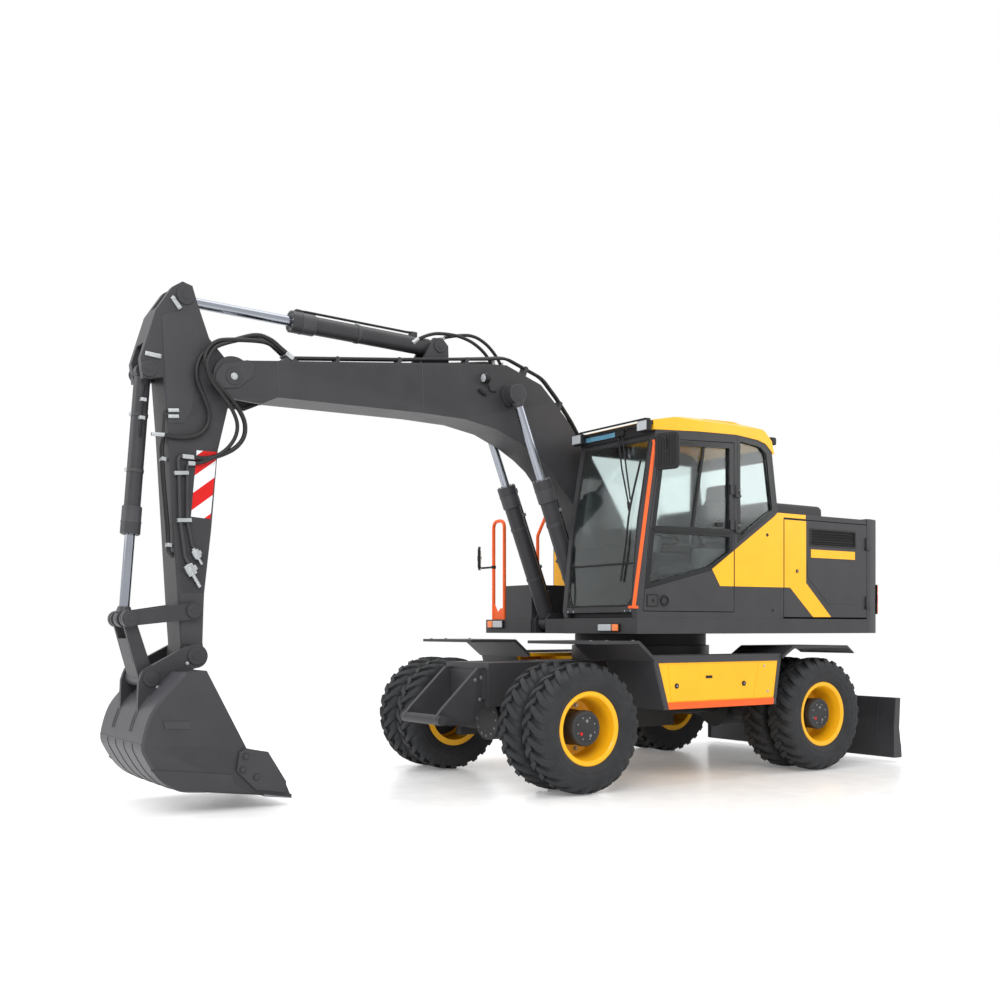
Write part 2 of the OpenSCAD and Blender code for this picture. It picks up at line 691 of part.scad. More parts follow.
// Side outline of the cab, anticlockwise from the rear bottom corner
cab_top = [[cab_front - 212, roof_z - 185], [cab_front - 685, roof_z - 155], [0, roof_z - 140], [-260,
  roof_z - 160],
  [-360, roof_z - 185], [cab_back_top, roof_z - 250]];
cab_side = concat([[cab_rear, cab_floor_z], [cab_front - 15, cab_floor_z], [cab_front, cab_floor_z + 70],
  [cab_front - 75, 2150]], cab_top, [[cab_rear, 2280]]);
door_hole = [[20, cab_floor_z + 50], [cab_front - 80, cab_floor_z + 50], [cab_front - 75,
  cab_floor_z + 70],
  [cab_front - 150, 2150], [cab_front - 268, roof_z - 250], [20, roof_z - 208]];
door_leaf = inset(door_hole, 6);
upper_pane = [[75, 2120], [cab_front - 205, 2105], [cab_front - 312, roof_z - 296], [75, roof_z - 256]];
lower_pane = [[300, 1800], [cab_front - 140, 1640], [cab_front - 192, 2062], [75, 2062], [75, 1930]];
quarter_pane = [[-45, 2060], [-45, roof_z - 185], [-300, roof_z - 212], [-375, roof_z - 270],
  [cab_rear + 70, 2320]];
right_pane = [[-350, 2000], [cab_front - 160, 2000], [cab_front - 290, roof_z - 275], [-380,
  roof_z - 275]];
glass_t = 8;

module cab_left() {
  color("#2a2c2f") placed() difference() {
    side_plate(cab_side, upper_half_w - wall, upper_half_w);
    side_plate(door_hole, 0, 2000);
    side_plate(quarter_pane, 0, 2000);
  }
  color("#2a2c2f") placed() for (z = cab_hinges) {
    block([-40, upper_half_w - 1, z - 22], [22, upper_half_w + 24, z - 2]);
    translate([12, upper_half_w + 13, z - 22]) cylinder(r = 6, h = 100);
  }
}

module cab_right_wall() {
  color("#2a2c2f") placed() difference() {
    side_plate(cab_side, cab_right, cab_right + wall);
    side_plate(right_pane, 0, 2000);
  }
}

module cab_floor() {
  color("#2a2c2f") placed() block([cab_rear, cab_right + wall, cab_floor_z],
    [cab_front - 60, upper_half_w - wall, cab_floor_z + 40]);
}

module cab_front_bars() {
  y0 = cab_right + wall;
  y1 = upper_half_w - wall;
  color("#2a2c2f") placed() {
    side_plate([[cab_front - 75, cab_floor_z + 41], [cab_front - 5, cab_floor_z + 41],
      [cab_front - 2, cab_floor_z + 90], [cab_front - 70, cab_floor_z + 90]], y0, y1);
    side_plate([[cab_front - 265, roof_z - 255], [cab_front - 201, roof_z - 255],
      [cab_front - 213, roof_z - 185.3], [cab_front - 280, roof_z - 185.3]], y0, y1);
  }
}

module cab_rear_wall() {
  y0 = cab_right + wall;
  y1 = upper_half_w - wall;
  color("#2a2c2f") placed() {
    side_plate([[cab_rear, cab_floor_z + 41], [cab_rear + 50, cab_floor_z + 41], [cab_rear + 50, 2280],
      [cab_rear, 2280]], y0, y1);
    side_plate([[cab_back_top - 11, roof_z - 330], [cab_back_top + 39, roof_z - 330],
      [cab_back_top + 45, roof_z - 230],
      [cab_back_top + 25, roof_z - 230], [cab_back_top + 0.5, roof_z - 250]], y0, y1);
  }
}

// Roof shell with sloped side edges, resting on the top edge of the cab's sides
module cab_roof() {
  under = [for (p = cab_top) p + [0, 0.3]];
  crown = [[cab_back_top - 2.8, roof_z - 264], [cab_back_top - 28, roof_z - 264], [cab_back_top + 5,
    roof_z - 155],
    [-358, roof_z - 85], [-250, roof_z - 25], [-100, roof_z], [250, roof_z - 10], [600, roof_z - 40],
    [cab_front - 185, roof_z - 108], [cab_front - 185, roof_z - 184.7]];
  edge = [[upper_half_w - 130, roof_z - 13], [upper_half_w + 6, roof_z - 65], [upper_half_w + 6,
    roof_z + 50],
    [upper_half_w - 130, roof_z + 50]];
  mid = (cab_right + upper_half_w) / 2;
  color("#f2b91e") placed() difference() {
    side_plate(concat(under, crown), cab_right - 5, upper_half_w + 5);
    side_plate([[cab_front - 275, roof_z - 195], [cab_front - 275, roof_z - 140], [600, roof_z - 80],
      [250, roof_z - 50], [-100, roof_z - 40], [-250, roof_z - 70], [-340, roof_z - 140], [-340,
        roof_z - 200]],
      cab_right + wall + 5, upper_half_w - wall - 5);
    for (s = [0, 1]) translate([cab_rear - 50, mid, 0]) mirror([0, s, 0]) translate([0, -mid,
      0]) rotate([90, 0, 90])
      linear_extrude(cab_front - cab_rear) polygon(edge);
  }
}

module cab_glass() {
  y0 = cab_right + wall;
  y1 = upper_half_w - wall;
  color("#9fc4cf", 0.4) placed() {
    side_plate(strip([[cab_front - 206, roof_z - 255.4], [cab_front - 80, 2150], [cab_front - 12,
      cab_floor_z + 91]],
      -glass_t), y0 + 1, y1 - 1);
    side_plate(strip([[cab_rear + 10, 2281], [cab_back_top - 10, roof_z - 330.6]], -glass_t), y0 + 1,
      y1 - 1);
    side_plate(right_pane, cab_right + 20, cab_right + 20 + glass_t);
    side_plate(quarter_pane, upper_half_w - 30, upper_half_w - 30 + glass_t);
  }
}

module cab_door() {
  color("#2a2c2f") placed() {
    difference() {
      side_plate(door_leaf, upper_half_w - wall, upper_half_w);
      side_plate(upper_pane, 0, 2000);
      side_plate(lower_pane, 0, 2000);
    }
    for (z = cab_hinges) difference() {
      union() {
        translate([12, upper_half_w + 13, z]) cylinder(r = 12, h = 80);
        block([12, upper_half_w + 1, z], [27, upper_half_w + 22, z + 80]);
        block([26, upper_half_w - 1, z], [75, upper_half_w + 12, z + 80]);
      }
      translate([12, upper_half_w + 13, z - 10]) cylinder(r = 6 + run, h = 120);
    }
  }
}

module door_glass() {
  color("#9fc4cf", 0.4) placed() {
    side_plate(upper_pane, upper_half_w - 30, upper_half_w - 30 + glass_t);
    side_plate(lower_pane, upper_half_w - 30, upper_half_w - 30 + glass_t);
  }
}

module seat() {
  y = (cab_right + upper_half_w) / 2;
  z = cab_floor_z + 40;
  color("#4a4d52") placed() {
    block([-180, y - 200, z], [180, y + 200, z + 330]);
    block([-230, y - 250, z + 329], [300, y + 250, z + 450]);
    side_plate([[-240, z + 440], [-110, z + 440], [-200, z + 1150], [-300, z + 1150]], y - 240, y + 240);
  }
}

module controls() {
  y = (cab_right + upper_half_w) / 2;
  z = cab_floor_z + 40;
  color("#2d3033") placed() {
    for (s = [-1, 1]) {
      block([-150, y + s * 330 - 70, z], [330, y + s * 330 + 70, z + 560]);
      translate([270, y + s * 330, z + 559]) cylinder(r = 22, h = 180);
    }
    translate([700, y, z + 12.2]) rotate([0, -20, 0]) cylinder(r = 35, h = 690);
    translate([462, y, z + 655]) rotate([0, -20, 0]) cylinder(r = 190, h = 25);
  }
}

// Boom, arm and bucket

boom_low = [[4205, -100], [4055, -150], [3860, -95], [3755, 10], [3170, 225], [2580, 445], [2185, 575],
  [1875, 630], [1605, 620], [1420, 590], [1265, 545], [700, 235], [120, -110]];
boom_top = [[-80, 130], [700, 700], [1175, 1010], [1390, 1115], [1575, 1195], [1960, 1190], [2155, 1105],
  [2905, 730], [3845, 270], [4105, 140]];
function stretched(v, k) = [for (p = v) [p[0] * k, p[1]]];
boom_side = stretched(back(concat(boom_low, boom_top)), bu);

module boom() {
  w = boom_half_w;
  p = [1850 * bu, 950];
  s = [2580 * bu, 1065];
  color("#34383c") placed() member(foot, boom_angle) difference() {
    union() {
      difference() {
        side_plate(boom_side, -w, w);
        side_plate(inset(boom_side, 22), -w + 14, w - 14);
      }
      cross_bar([0, 0], 150, -w, w);
      cross_bar([boom_len, 0], 150, -w, w);
      translate([3755 * bu, 0, 0]) side_plate([[-40, 30], [40, 0], [45, 320], [-40, 320]], -w, w);
      cross_bar(p, 95, -w - 40, w + 40);
      for (y = [-106, 76]) side_plate([[s[0] - 170, 860], [s[0] + 130, 740], [s[0] + 75, s[1] + 40],
          [s[0], s[1] + 75], [s[0] - 75, s[1] + 40]], y, y + 30);
      cross_bar(s, 38, -106, 106);
    }
    cross_bar([0, 0], 50 + run, -500, 500);
    block([3800 * bu, -fork_half, -400], [boom_len + 400, fork_half, 400]);
    cross_bar([boom_len, 0], 45 + run, -500, 500);
  }
}

module boom_barrels() {
  color("#34383c") for (s = [-1, 1]) ram(boom_cyl_foot, boom_rod_pin, boom_y + s * cyl_side)
    barrel(boom_cyl, 75, 100, 40);
}

module boom_rods() {
  reach = norm(boom_rod_pin - boom_cyl_foot);
  color("#c9ccd0") for (s = [-1, 1]) ram(boom_cyl_foot, boom_rod_pin, boom_y + s * cyl_side)
    rod(boom_cyl, reach, 80, 90);
}

arm_rear = [[-575, 380], [-480, 335], [-235, 205], [-120, 60], [-60, -110], [60, -120], [170, -10],
  [560, 25],
  [1135, -10], [1605, -25], [1945, -60], [2050, -92]];
arm_front = [[2065, 94], [1990, 95], [1760, 145], [1165, 265], [505, 405], [130, 490], [180, 630], [40,
  668], [-325, 612],
  [-525, 520], [-585, 455]];
arm_side = stretched(concat(arm_rear, arm_front), au);

module arm() {
  w = arm_half_w;
  t = [-490, 420];
  k = [100 * au, 600];
  r = [arm_len - 320, 50];
  color("#34383c") placed() member(arm_pivot, arm_angle) difference() {
    union() {
      difference() {
        side_plate(arm_side, -w, w);
        side_plate(stretched([[150, 60], [560, 60], [1135, 30], [1605, 10], [1690, 10], [1690, 125],
          [1165, 230], [505, 370], [120, 440], [-240, 560], [-240, 310], [40, 160]], au), -w + 12, w - 12);
      }
      cross_bar([0, 0], 130, -w, w);
      cross_bar([arm_len, 0], 95, -w, w);
    }
    cross_bar(t, 214, -62, 62);
    block([k[0] - 190, -80, 490], [k[0] + 200, 80, 800]);
    cross_bar([arm_len, 0], 40 + run, -500, 500);
  }
  color("#34383c") placed() member(arm_pivot, arm_angle) {
    cross_bar([0, 0], 45, -boom_half_w, boom_half_w);
    cross_bar(k, 32, -w, w);
    cross_bar(r, 35, -w - 50, w + 50);
  }
}

module arm_barrel() {
  color("#34383c") ram(arm_cyl_base, arm_rod_pin, boom_y) barrel(arm_cyl, 75, 110, 38);
}

module arm_rod() {
  color("#c9ccd0") ram(arm_cyl_base, arm_rod_pin, boom_y) rod(arm_cyl,
    norm(arm_rod_pin - arm_cyl_base), 80, 100);
}

module bucket() {
  w = bucket_w / 2;
  h = [322, -154];
  ear = [[20, -95], [-75, 40], [60, 75], [h[0] + 55, h[1] + 62], [h[0] + 85, h[1] - 20], [415, -390],
    [315, -255],
    [175, -105]];
  color("#3f4347") placed() member(bucket_pin, 0) {
    side_plate(strip(bucket_back, -bucket_t), -w, w);
    for (y = [-w, w - bucket_t]) side_plate(concat(bucket_back, bucket_cutter), y, y + bucket_t);
    for (y = [-w - 20, w - 1]) side_plate(side_cutter, y, y + 21);
    for (s = [0, 1]) mirror([0, s, 0]) {
      side_plate(ear, ear_in, ear_out);
      cross_bar([0, 0], 85, ear_in, ear_out);
      cross_bar([0, 0], 60, arm_half_w + 5, ear_in + 1);
      cross_bar(h, 75, ear_in, ear_out);
      cross_bar(h, 60, arm_half_w + 2, ear_in + 1);
    }
    cross_bar([0, 0], 40, -ear_out, ear_out);
    cross_bar(h, 35, -ear_out, ear_out);
  }
}

module bucket_link() {
  color("#34383c") placed() translate([bucket_link_pin[0], boom_y, bucket_link_pin[1]])
    rotate([0, -angle_of(bucket_link_pin, link_pin), 0]) {
      d = norm(link_pin - bucket_link_pin);
      difference() {
        union() {
          cross_bar([0, 0], 62, -arm_half_w + 5, arm_half_w - 5);
          side_plate([[0, -55], [d, -45], [d, 45], [0, 55]], -arm_half_w + 5, arm_half_w - 5);
          cross_bar([d, 0], 60, -arm_half_w + 5, arm_half_w - 5);
        }
        cross_bar([0, 0], 35 + run, -500, 500);
        block([130, -arm_half_w + 40, -100], [d + 100, arm_half_w - 40, 100]);
      }
    }
}

module rocker_links() {
  v = link_pin - rocker_pin;
  d = norm(v);
  color("#34383c") placed() translate([rocker_pin[0], boom_y, rocker_pin[1]])
    rotate([0, -angle_of(rocker_pin, link_pin), 0]) for (s = [0, 1]) mirror([0, s, 0]) difference() {
      union() {
        side_plate([[0, -60], [d, -50], [d, 50], [0, 60]], fork_half, fork_half + rocker_t);
        cross_bar([0, 0], 62, fork_half, fork_half + rocker_t);
        cross_bar([d, 0], 60, fork_half, fork_half + rocker_t);
      }
      cross_bar([0, 0], 35 + run, 0, 500);
    }
}

module bucket_barrel() {
  color("#34383c") ram(bucket_cyl_base, link_pin, boom_y) barrel(bucket_cyl, 60, 80, 32);
}

module bucket_rod() {
  color("#c9ccd0") ram(bucket_cyl_base, link_pin, boom_y) rod(bucket_cyl,
    norm(link_pin - bucket_cyl_base), 60, 90);
}

// Drawing

chassis_frame();
slew_ring();
front_axle();
rear_axle();
drive_line();
front_bracket();
fenders();
step_boxes();
knuckle_left();
knuckle_right();
rims_fl();
tyres_fl();
rims_fr();
tyres_fr();
rims_rl();
tyres_rl();
rims_rr();
tyres_rr();
hub_fl();
hub_fr();
hub_rl();
hub_rr();
blade();
blade_barrels();
blade_rods();
upper_frame();
counterweight();
engine_block();
house_frame();
hood();
left_door();
right_door();
fuel_tank();
tool_box();
handrails();
lamps();
mirrors();
cab_left();
cab_right_wall();
cab_floor();
cab_front_bars();
cab_rear_wall();
cab_roof();
cab_glass();
cab_door();
door_glass();
seat();
controls();
boom();
boom_barrels();
boom_rods();
arm();
arm_barrel();
arm_rod();
bucket();
bucket_link();
rocker_links();
bucket_barrel();
bucket_rod();
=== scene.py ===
"""Looks of the wheeled excavator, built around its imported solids.

Lengths are millimetres. Camera, lights, BOOM_Y, the pivots of the joints and the hoses' radii are in metres.
"""
import json
import math

import bmesh
import bpy
from mathutils import Matrix, Vector

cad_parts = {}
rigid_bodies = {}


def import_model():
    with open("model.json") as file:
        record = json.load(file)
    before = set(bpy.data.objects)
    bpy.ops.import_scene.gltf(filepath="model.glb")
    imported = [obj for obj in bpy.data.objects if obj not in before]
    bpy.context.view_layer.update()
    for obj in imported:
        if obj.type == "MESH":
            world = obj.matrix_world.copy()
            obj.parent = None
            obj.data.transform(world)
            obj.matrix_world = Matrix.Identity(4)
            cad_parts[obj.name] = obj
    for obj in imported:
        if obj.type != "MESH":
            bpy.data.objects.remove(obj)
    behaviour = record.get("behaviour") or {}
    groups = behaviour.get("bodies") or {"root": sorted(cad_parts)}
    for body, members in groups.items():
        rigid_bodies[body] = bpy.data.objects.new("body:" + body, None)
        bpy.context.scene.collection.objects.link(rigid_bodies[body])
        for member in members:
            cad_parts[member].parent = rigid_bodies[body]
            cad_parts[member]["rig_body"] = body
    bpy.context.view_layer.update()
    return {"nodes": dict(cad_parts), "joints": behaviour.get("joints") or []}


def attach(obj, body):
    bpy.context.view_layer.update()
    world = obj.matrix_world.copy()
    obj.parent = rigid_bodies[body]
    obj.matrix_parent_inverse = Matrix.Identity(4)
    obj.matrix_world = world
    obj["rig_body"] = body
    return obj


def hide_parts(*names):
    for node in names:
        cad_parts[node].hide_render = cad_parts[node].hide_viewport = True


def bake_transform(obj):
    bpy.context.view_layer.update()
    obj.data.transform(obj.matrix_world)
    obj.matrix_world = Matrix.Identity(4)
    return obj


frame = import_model()
JOINTS = {j["name"]: j for j in frame["joints"]}
SCENE = bpy.context.scene
MM = Matrix.Scale(0.001, 4)
BOOM_Y = -0.1


def pivot(joint):
    return Vector(JOINTS[joint]["pos_m"])


def member(a, b):
    """Frame in millimetres whose X runs from point a to point b, with Y across the machine."""
    angle = math.atan2(b.z - a.z, b.x - a.x)
    return Matrix.Translation((a.x, BOOM_Y, a.z)) @ Matrix.Rotation(-angle, 4, "Y") @ MM


def placed(at, angle, axis="Y"):
    """Frame at a point, turned by some degrees."""
    return Matrix.Translation(at) @ Matrix.Rotation(math.radians(angle), 4, axis)


SLEW = Matrix.Translation((pivot("slew").x, 0, 0)) @ MM
CENTRE = Matrix.Translation((0, BOOM_Y, 0)) @ MM
BOOM = member(pivot("boom_lift"), pivot("arm_swing"))
ARM = member(pivot("arm_swing"), pivot("bucket_curl"))
BUCKET = Matrix.Translation((pivot("bucket_curl").x, BOOM_Y, pivot("bucket_curl").z)) @ MM
QUARTER = Matrix.Rotation(math.radians(90), 4, "Z")


# Camera, light and floor

camera = bpy.data.objects.new("camera", bpy.data.cameras.new("camera"))
SCENE.collection.objects.link(camera)
camera.location = (pivot("slew").x + 7.0904, 8.072, 1.2805)
camera.rotation_euler = (math.radians(90), 0, math.radians(145.236))
camera.data.sensor_width = 36
camera.data.lens = 40.91
camera.data.shift_x = -0.0099
camera.data.shift_y = 0.1288
SCENE.camera = camera
SCENE.view_settings.view_transform = "Standard"


def area_light(name, place, target, size, power):
    lamp = bpy.data.lights.new(name, "AREA")
    lamp.shape = "RECTANGLE"
    lamp.size = size[0]
    lamp.size_y = size[1]
    lamp.energy = power
    ob = bpy.data.objects.new(name, lamp)
    ob.location = place
    way = Vector(target) - Vector(place)
    ob.rotation_euler = way.to_track_quat("-Z", "Y").to_euler()
    SCENE.collection.objects.link(ob)


area_light("key", (6, 9, 8), (0, 0, 1.4), (6, 4), 560)
area_light("side", (-9, 6, 5), (-1, 0, 1.2), (5, 4), 150)
area_light("front", (9, -2, 5), (2, 0, 1.5), (4, 4), 200)
area_light("top", (0, 0, 10), (0, 0, 0), (9, 6), 320)
SCENE.world = bpy.data.worlds.new("studio")
SCENE.world.use_nodes = True
backdrop = SCENE.world.node_tree.nodes["Background"]
backdrop.inputs["Color"].default_value = (1, 1, 1, 1)
backdrop.inputs["Strength"].default_value = 1.0


# Materials


def surface(name, color, rough, metal=0.0, coat=0.0, vary=0.1, scale=5.0, bump=0.1, grain=300.0, edge=None,
            dust=None, shine=0.5):
    """Finish with slow colour drift, uneven gloss and a fine grain.

    Edge is the colour of worn corners. Dust is the colour of a film on upward faces, and its strength.
    """
    mat = bpy.data.materials.new(name)
    mat.use_nodes = True
    tree = mat.node_tree
    link = tree.links.new

    def add(kind, **inputs):
        """New node with some inputs set; an underscore stands for a space."""
        new = tree.nodes.new("ShaderNode" + kind)
        for key, value in inputs.items():
            new.inputs[key.replace("_", " ")].default_value = value
        return new

    def overlay(value, low, high, most, under, over):
        """Second colour laid over the first where the value is high."""
        pick = add("MapRange", From_Min=low, From_Max=high, To_Max=most)
        link(value, pick.inputs["Value"])
        mix = add("Mix")
        mix.data_type = "RGBA"
        mix.inputs["B"].default_value = list(over) + [1]
        link(pick.outputs["Result"], mix.inputs["Factor"])
        link(under, mix.inputs["A"])
        return mix.outputs["Result"]

    bsdf = tree.nodes["Principled BSDF"]
    bsdf.inputs["Metallic"].default_value = metal
    bsdf.inputs["Coat Weight"].default_value = coat
    bsdf.inputs["Specular IOR Level"].default_value = shine
    where = add("TexCoord")
    slow = add("TexNoise", Scale=scale, Detail=6)
    link(where.outputs["Object"], slow.inputs["Vector"])
    ramp = add("ValToRGB")
    dark, light = ramp.color_ramp.elements
    dark.position = 0.3
    light.position = 0.7
    dark.color = [c * (1 - vary) for c in color] + [1]
    light.color = [min(1, c * (1 + vary)) for c in color] + [1]
    link(slow.outputs["Fac"], ramp.inputs["Fac"])
    out = ramp.outputs["Color"]
    if edge:
        out = overlay(add("NewGeometry").outputs["Pointiness"], 0.52, 0.62, 0.45, out, edge)
    if dust:
        split = add("SeparateXYZ")
        link(add("NewGeometry").outputs["Normal"], split.inputs["Vector"])
        out = overlay(split.outputs["Z"], 0.2, 1.0, dust[3], out, dust[:3])
    link(out, bsdf.inputs["Base Color"])
    gloss = add("MapRange", To_Min=max(0.02, rough - 0.07), To_Max=min(1, rough + 0.07))
    link(slow.outputs["Fac"], gloss.inputs["Value"])
    link(gloss.outputs["Result"], bsdf.inputs["Roughness"])
    fine = add("TexNoise", Scale=grain, Detail=3)
    link(where.outputs["Object"], fine.inputs["Vector"])
    relief = add("Bump", Strength=bump, Distance=0.001)
    link(fine.outputs["Fac"], relief.inputs["Height"])
    link(relief.outputs["Normal"], bsdf.inputs["Normal"])
    return mat


CHARCOAL = surface("charcoal_paint", (0.034, 0.034, 0.037), 0.45, coat=0.04, bump=0.06,
                   edge=(0.08, 0.08, 0.09), shine=0.25)
PANEL = surface("panel_grey", (0.037, 0.037, 0.040), 0.48, coat=0.03, bump=0.05, shine=0.25)
CAST = surface("cast_dark", (0.026, 0.027, 0.029), 0.55, bump=0.3, grain=160, vary=0.2,
               edge=(0.07, 0.07, 0.07), shine=0.3)
YELLOW = surface("yellow_paint", (0.88, 0.43, 0.008), 0.36, coat=0.12, vary=0.04, bump=0.03, shine=0.3)
ORANGE = surface("orange_paint", (0.80, 0.105, 0.010), 0.38, coat=0.1, vary=0.05, bump=0.03, shine=0.3)
BLACK = surface("black_plastic", (0.012, 0.012, 0.013), 0.5, bump=0.25, grain=500, shine=0.25)
RUBBER = surface("tyre_rubber", (0.020, 0.021, 0.023), 0.72, vary=0.25, scale=9, bump=0.35, grain=220,
                 dust=(0.06, 0.06, 0.06, 0.25), shine=0.35)
HOSE = surface("hose_rubber", (0.012, 0.012, 0.013), 0.45, vary=0.15, bump=0.3, grain=700, shine=0.35)
CHROME = surface("chrome", (0.30, 0.32, 0.36), 0.20, metal=1.0, vary=0.03, bump=0.01)
ZINC = surface("zinc_steel", (0.42, 0.44, 0.45), 0.42, metal=0.9, vary=0.12, bump=0.15)
STEEL_EDGE = surface("worn_steel", (0.20, 0.20, 0.21), 0.38, metal=0.7, vary=0.2, bump=0.25, grain=120)
GLASS = surface("cab_glass", (0.80, 0.88, 0.87), 0.06, vary=0.03, bump=0.0, scale=3.0)
TINT = surface("visor_blue", (0.10, 0.25, 0.36), 0.12, coat=0.6, vary=0.15, bump=0.0)
BORDER = surface("glass_border", (0.010, 0.011, 0.012), 0.2, vary=0.05, bump=0.0, shine=0.3)
MIRROR = surface("mirror_glass", (0.85, 0.87, 0.9), 0.03, metal=1.0, vary=0.02, bump=0.0)
LENS_WHITE = surface("lens_white", (0.42, 0.44, 0.46), 0.12, coat=0.8, vary=0.05, bump=0.4, grain=60)
LENS_AMBER = surface("lens_amber", (0.95, 0.20, 0.01), 0.14, coat=0.8, vary=0.06, bump=0.4, grain=60)
LENS_RED = surface("lens_red", (0.72, 0.02, 0.012), 0.14, coat=0.8, vary=0.06, bump=0.4, grain=60)
WHITE = surface("white_film", (0.70, 0.71, 0.74), 0.3, vary=0.02, bump=0.02)
RED = surface("red_film", (0.55, 0.008, 0.007), 0.34, vary=0.04, bump=0.02, shine=0.25)
FABRIC = surface("seat_fabric", (0.085, 0.092, 0.10), 0.9, vary=0.15, scale=40, bump=0.6, grain=900)
TRIM = surface("cab_trim", (0.11, 0.115, 0.12), 0.65, bump=0.3, grain=600)
ENGINE = surface("engine_grey", (0.09, 0.095, 0.10), 0.55, metal=0.3, bump=0.2)
FLOOR = surface("studio_floor", (0.93, 0.93, 0.93), 0.24, vary=0.005, bump=0.0)
clear = GLASS.node_tree.nodes["Principled BSDF"]
clear.inputs["Transmission Weight"].default_value = 1.0
clear.inputs["IOR"].default_value = 1.45
glow = FLOOR.node_tree.nodes["Principled BSDF"]
glow.inputs["Emission Color"].default_value = (1, 1, 1, 1)
glow.inputs["Emission Strength"].default_value = 0.14

bpy.ops.mesh.primitive_plane_add(size=80)
floor = bpy.context.object
floor.name = "studio_floor"
floor.data.materials.append(FLOOR)


# Lines and outlines


def spline(points, steps):
    """Smooth way through the points."""
    pts = [Vector(p) for p in points]
    if steps <= 1 or len(pts) < 3:
        return pts
    ends = [2 * pts[0] - pts[1]] + pts + [2 * pts[-1] - pts[-2]]
    way = []
    for i in range(1, len(ends) - 2):
        a, b, c, d = ends[i - 1:i + 3]
        for k in range(steps):
            t = k / steps
            way.append(0.5 * (2 * b + (c - a) * t + (2 * a - 5 * b + 4 * c - d) * t * t
                              + (3 * b - a - 3 * c + d) * t ** 3))
    return way + [pts[-1]]


def bent(points, bend, steps=7):
    """Line through the points with round bends."""
    pts = [Vector(p) for p in points]
    way = [pts[0]]
    for a, b, c in zip(pts, pts[1:], pts[2:]):
        u, v = (b - a).normalized(), (c - b).normalized()
        turn = u.angle(v)
        if turn < 0.02:
            way.append(b)
            continue
        cut = min(bend * math.tan(turn / 2), (b - a).length * 0.48, (c - b).length * 0.48)
        p, q = b - u * cut, b + v * cut
        for k in range(steps + 1):
            t = k / steps
            way.append(p.lerp(b, t).lerp(b.lerp(q, t), t))
    return way + [pts[-1]]


def lifted(line, d):
    """Open line moved to the left of its own way by d."""
    out = []
    for i, p in enumerate(line):
        a = Vector(line[max(i - 1, 0)])
        b = Vector(line[min(i + 1, len(line) - 1)])
        u = (b - a).normalized()
        out.append((p[0] - u.y * d, p[1] + u.x * d))
    return out


def level(w, line):
    """Points of a line in X and Z, at a distance w from the middle plane."""
    return [(u, w, v) for u, v in line]


def clip(outline, axis, limit, keep):
    """Part of an outline on one side of a limit on X (axis 0) or Z (axis 1); keep is 1 for above it."""
    out = []
    for p, q in zip(outline, outline[1:] + outline[:1]):
        a, b = (p[axis] - limit) * keep, (q[axis] - limit) * keep
        if a >= 0:
            out.append(p)
        if a * b < 0:
            t = a / (a - b)
            out.append((p[0] + (q[0] - p[0]) * t, p[1] + (q[1] - p[1]) * t))
    return out


def slanted(outline, lo, hi, k):
    """Band of an outline between two slanted lines."""
    turned = [(u + k * v, v) for u, v in outline]
    band = clip(clip(turned, 0, lo, 1), 0, hi, -1)
    return [(u - k * v, v) for u, v in band]


def shrunk(outline, d):
    """Anticlockwise outline moved inwards by d."""
    out = []
    n = len(outline)
    for i in range(n):
        a, b, c = (Vector(outline[k % n]) for k in (i - 1, i, i + 1))
        u, v = (b - a).normalized(), (c - b).normalized()
        m, w = Vector((-u.y, u.x)), Vector((-v.y, v.x))
        p = b + (m + w) * (d / (1 + m.dot(w)))
        out.append((p.x, p.y))
    return out


def rounded(x0, z0, x1, z1, r, steps=5):
    """Rectangle with round corners."""
    out = []
    for cx, cz, start in ((x1 - r, z1 - r, 0), (x0 + r, z1 - r, 90),
                          (x0 + r, z0 + r, 180), (x1 - r, z0 + r, 270)):
        for k in range(steps + 1):
            a = math.radians(start + 90 * k / steps)
            out.append((cx + r * math.cos(a), cz + r * math.sin(a)))
    return out


def around(n, r=1.0, shift=0.0):
    """Corners of a regular polygon; shift turns it by a part of a step."""
    angles = [2 * math.pi * (k + shift) / n for k in range(n)]
    return [(r * math.cos(a), r * math.sin(a)) for a in angles]


def frame_of(axis):
    """Two unit vectors square to the axis."""
    axis = axis.normalized()
    side = axis.cross(Vector((0, 0, 1)))
    if side.length < 0.1:
        side = axis.cross(Vector((0, 1, 0)))
    side.normalize()
    return side, axis.cross(side).normalized()


def point_about(centre, axis, out, angle, r):
    """Point at a distance out along an axis, at an angle and a radius about it."""
    a, b = frame_of(axis)
    return centre + axis * out + (a * math.cos(angle) + b * math.sin(angle)) * r


# Mesh building


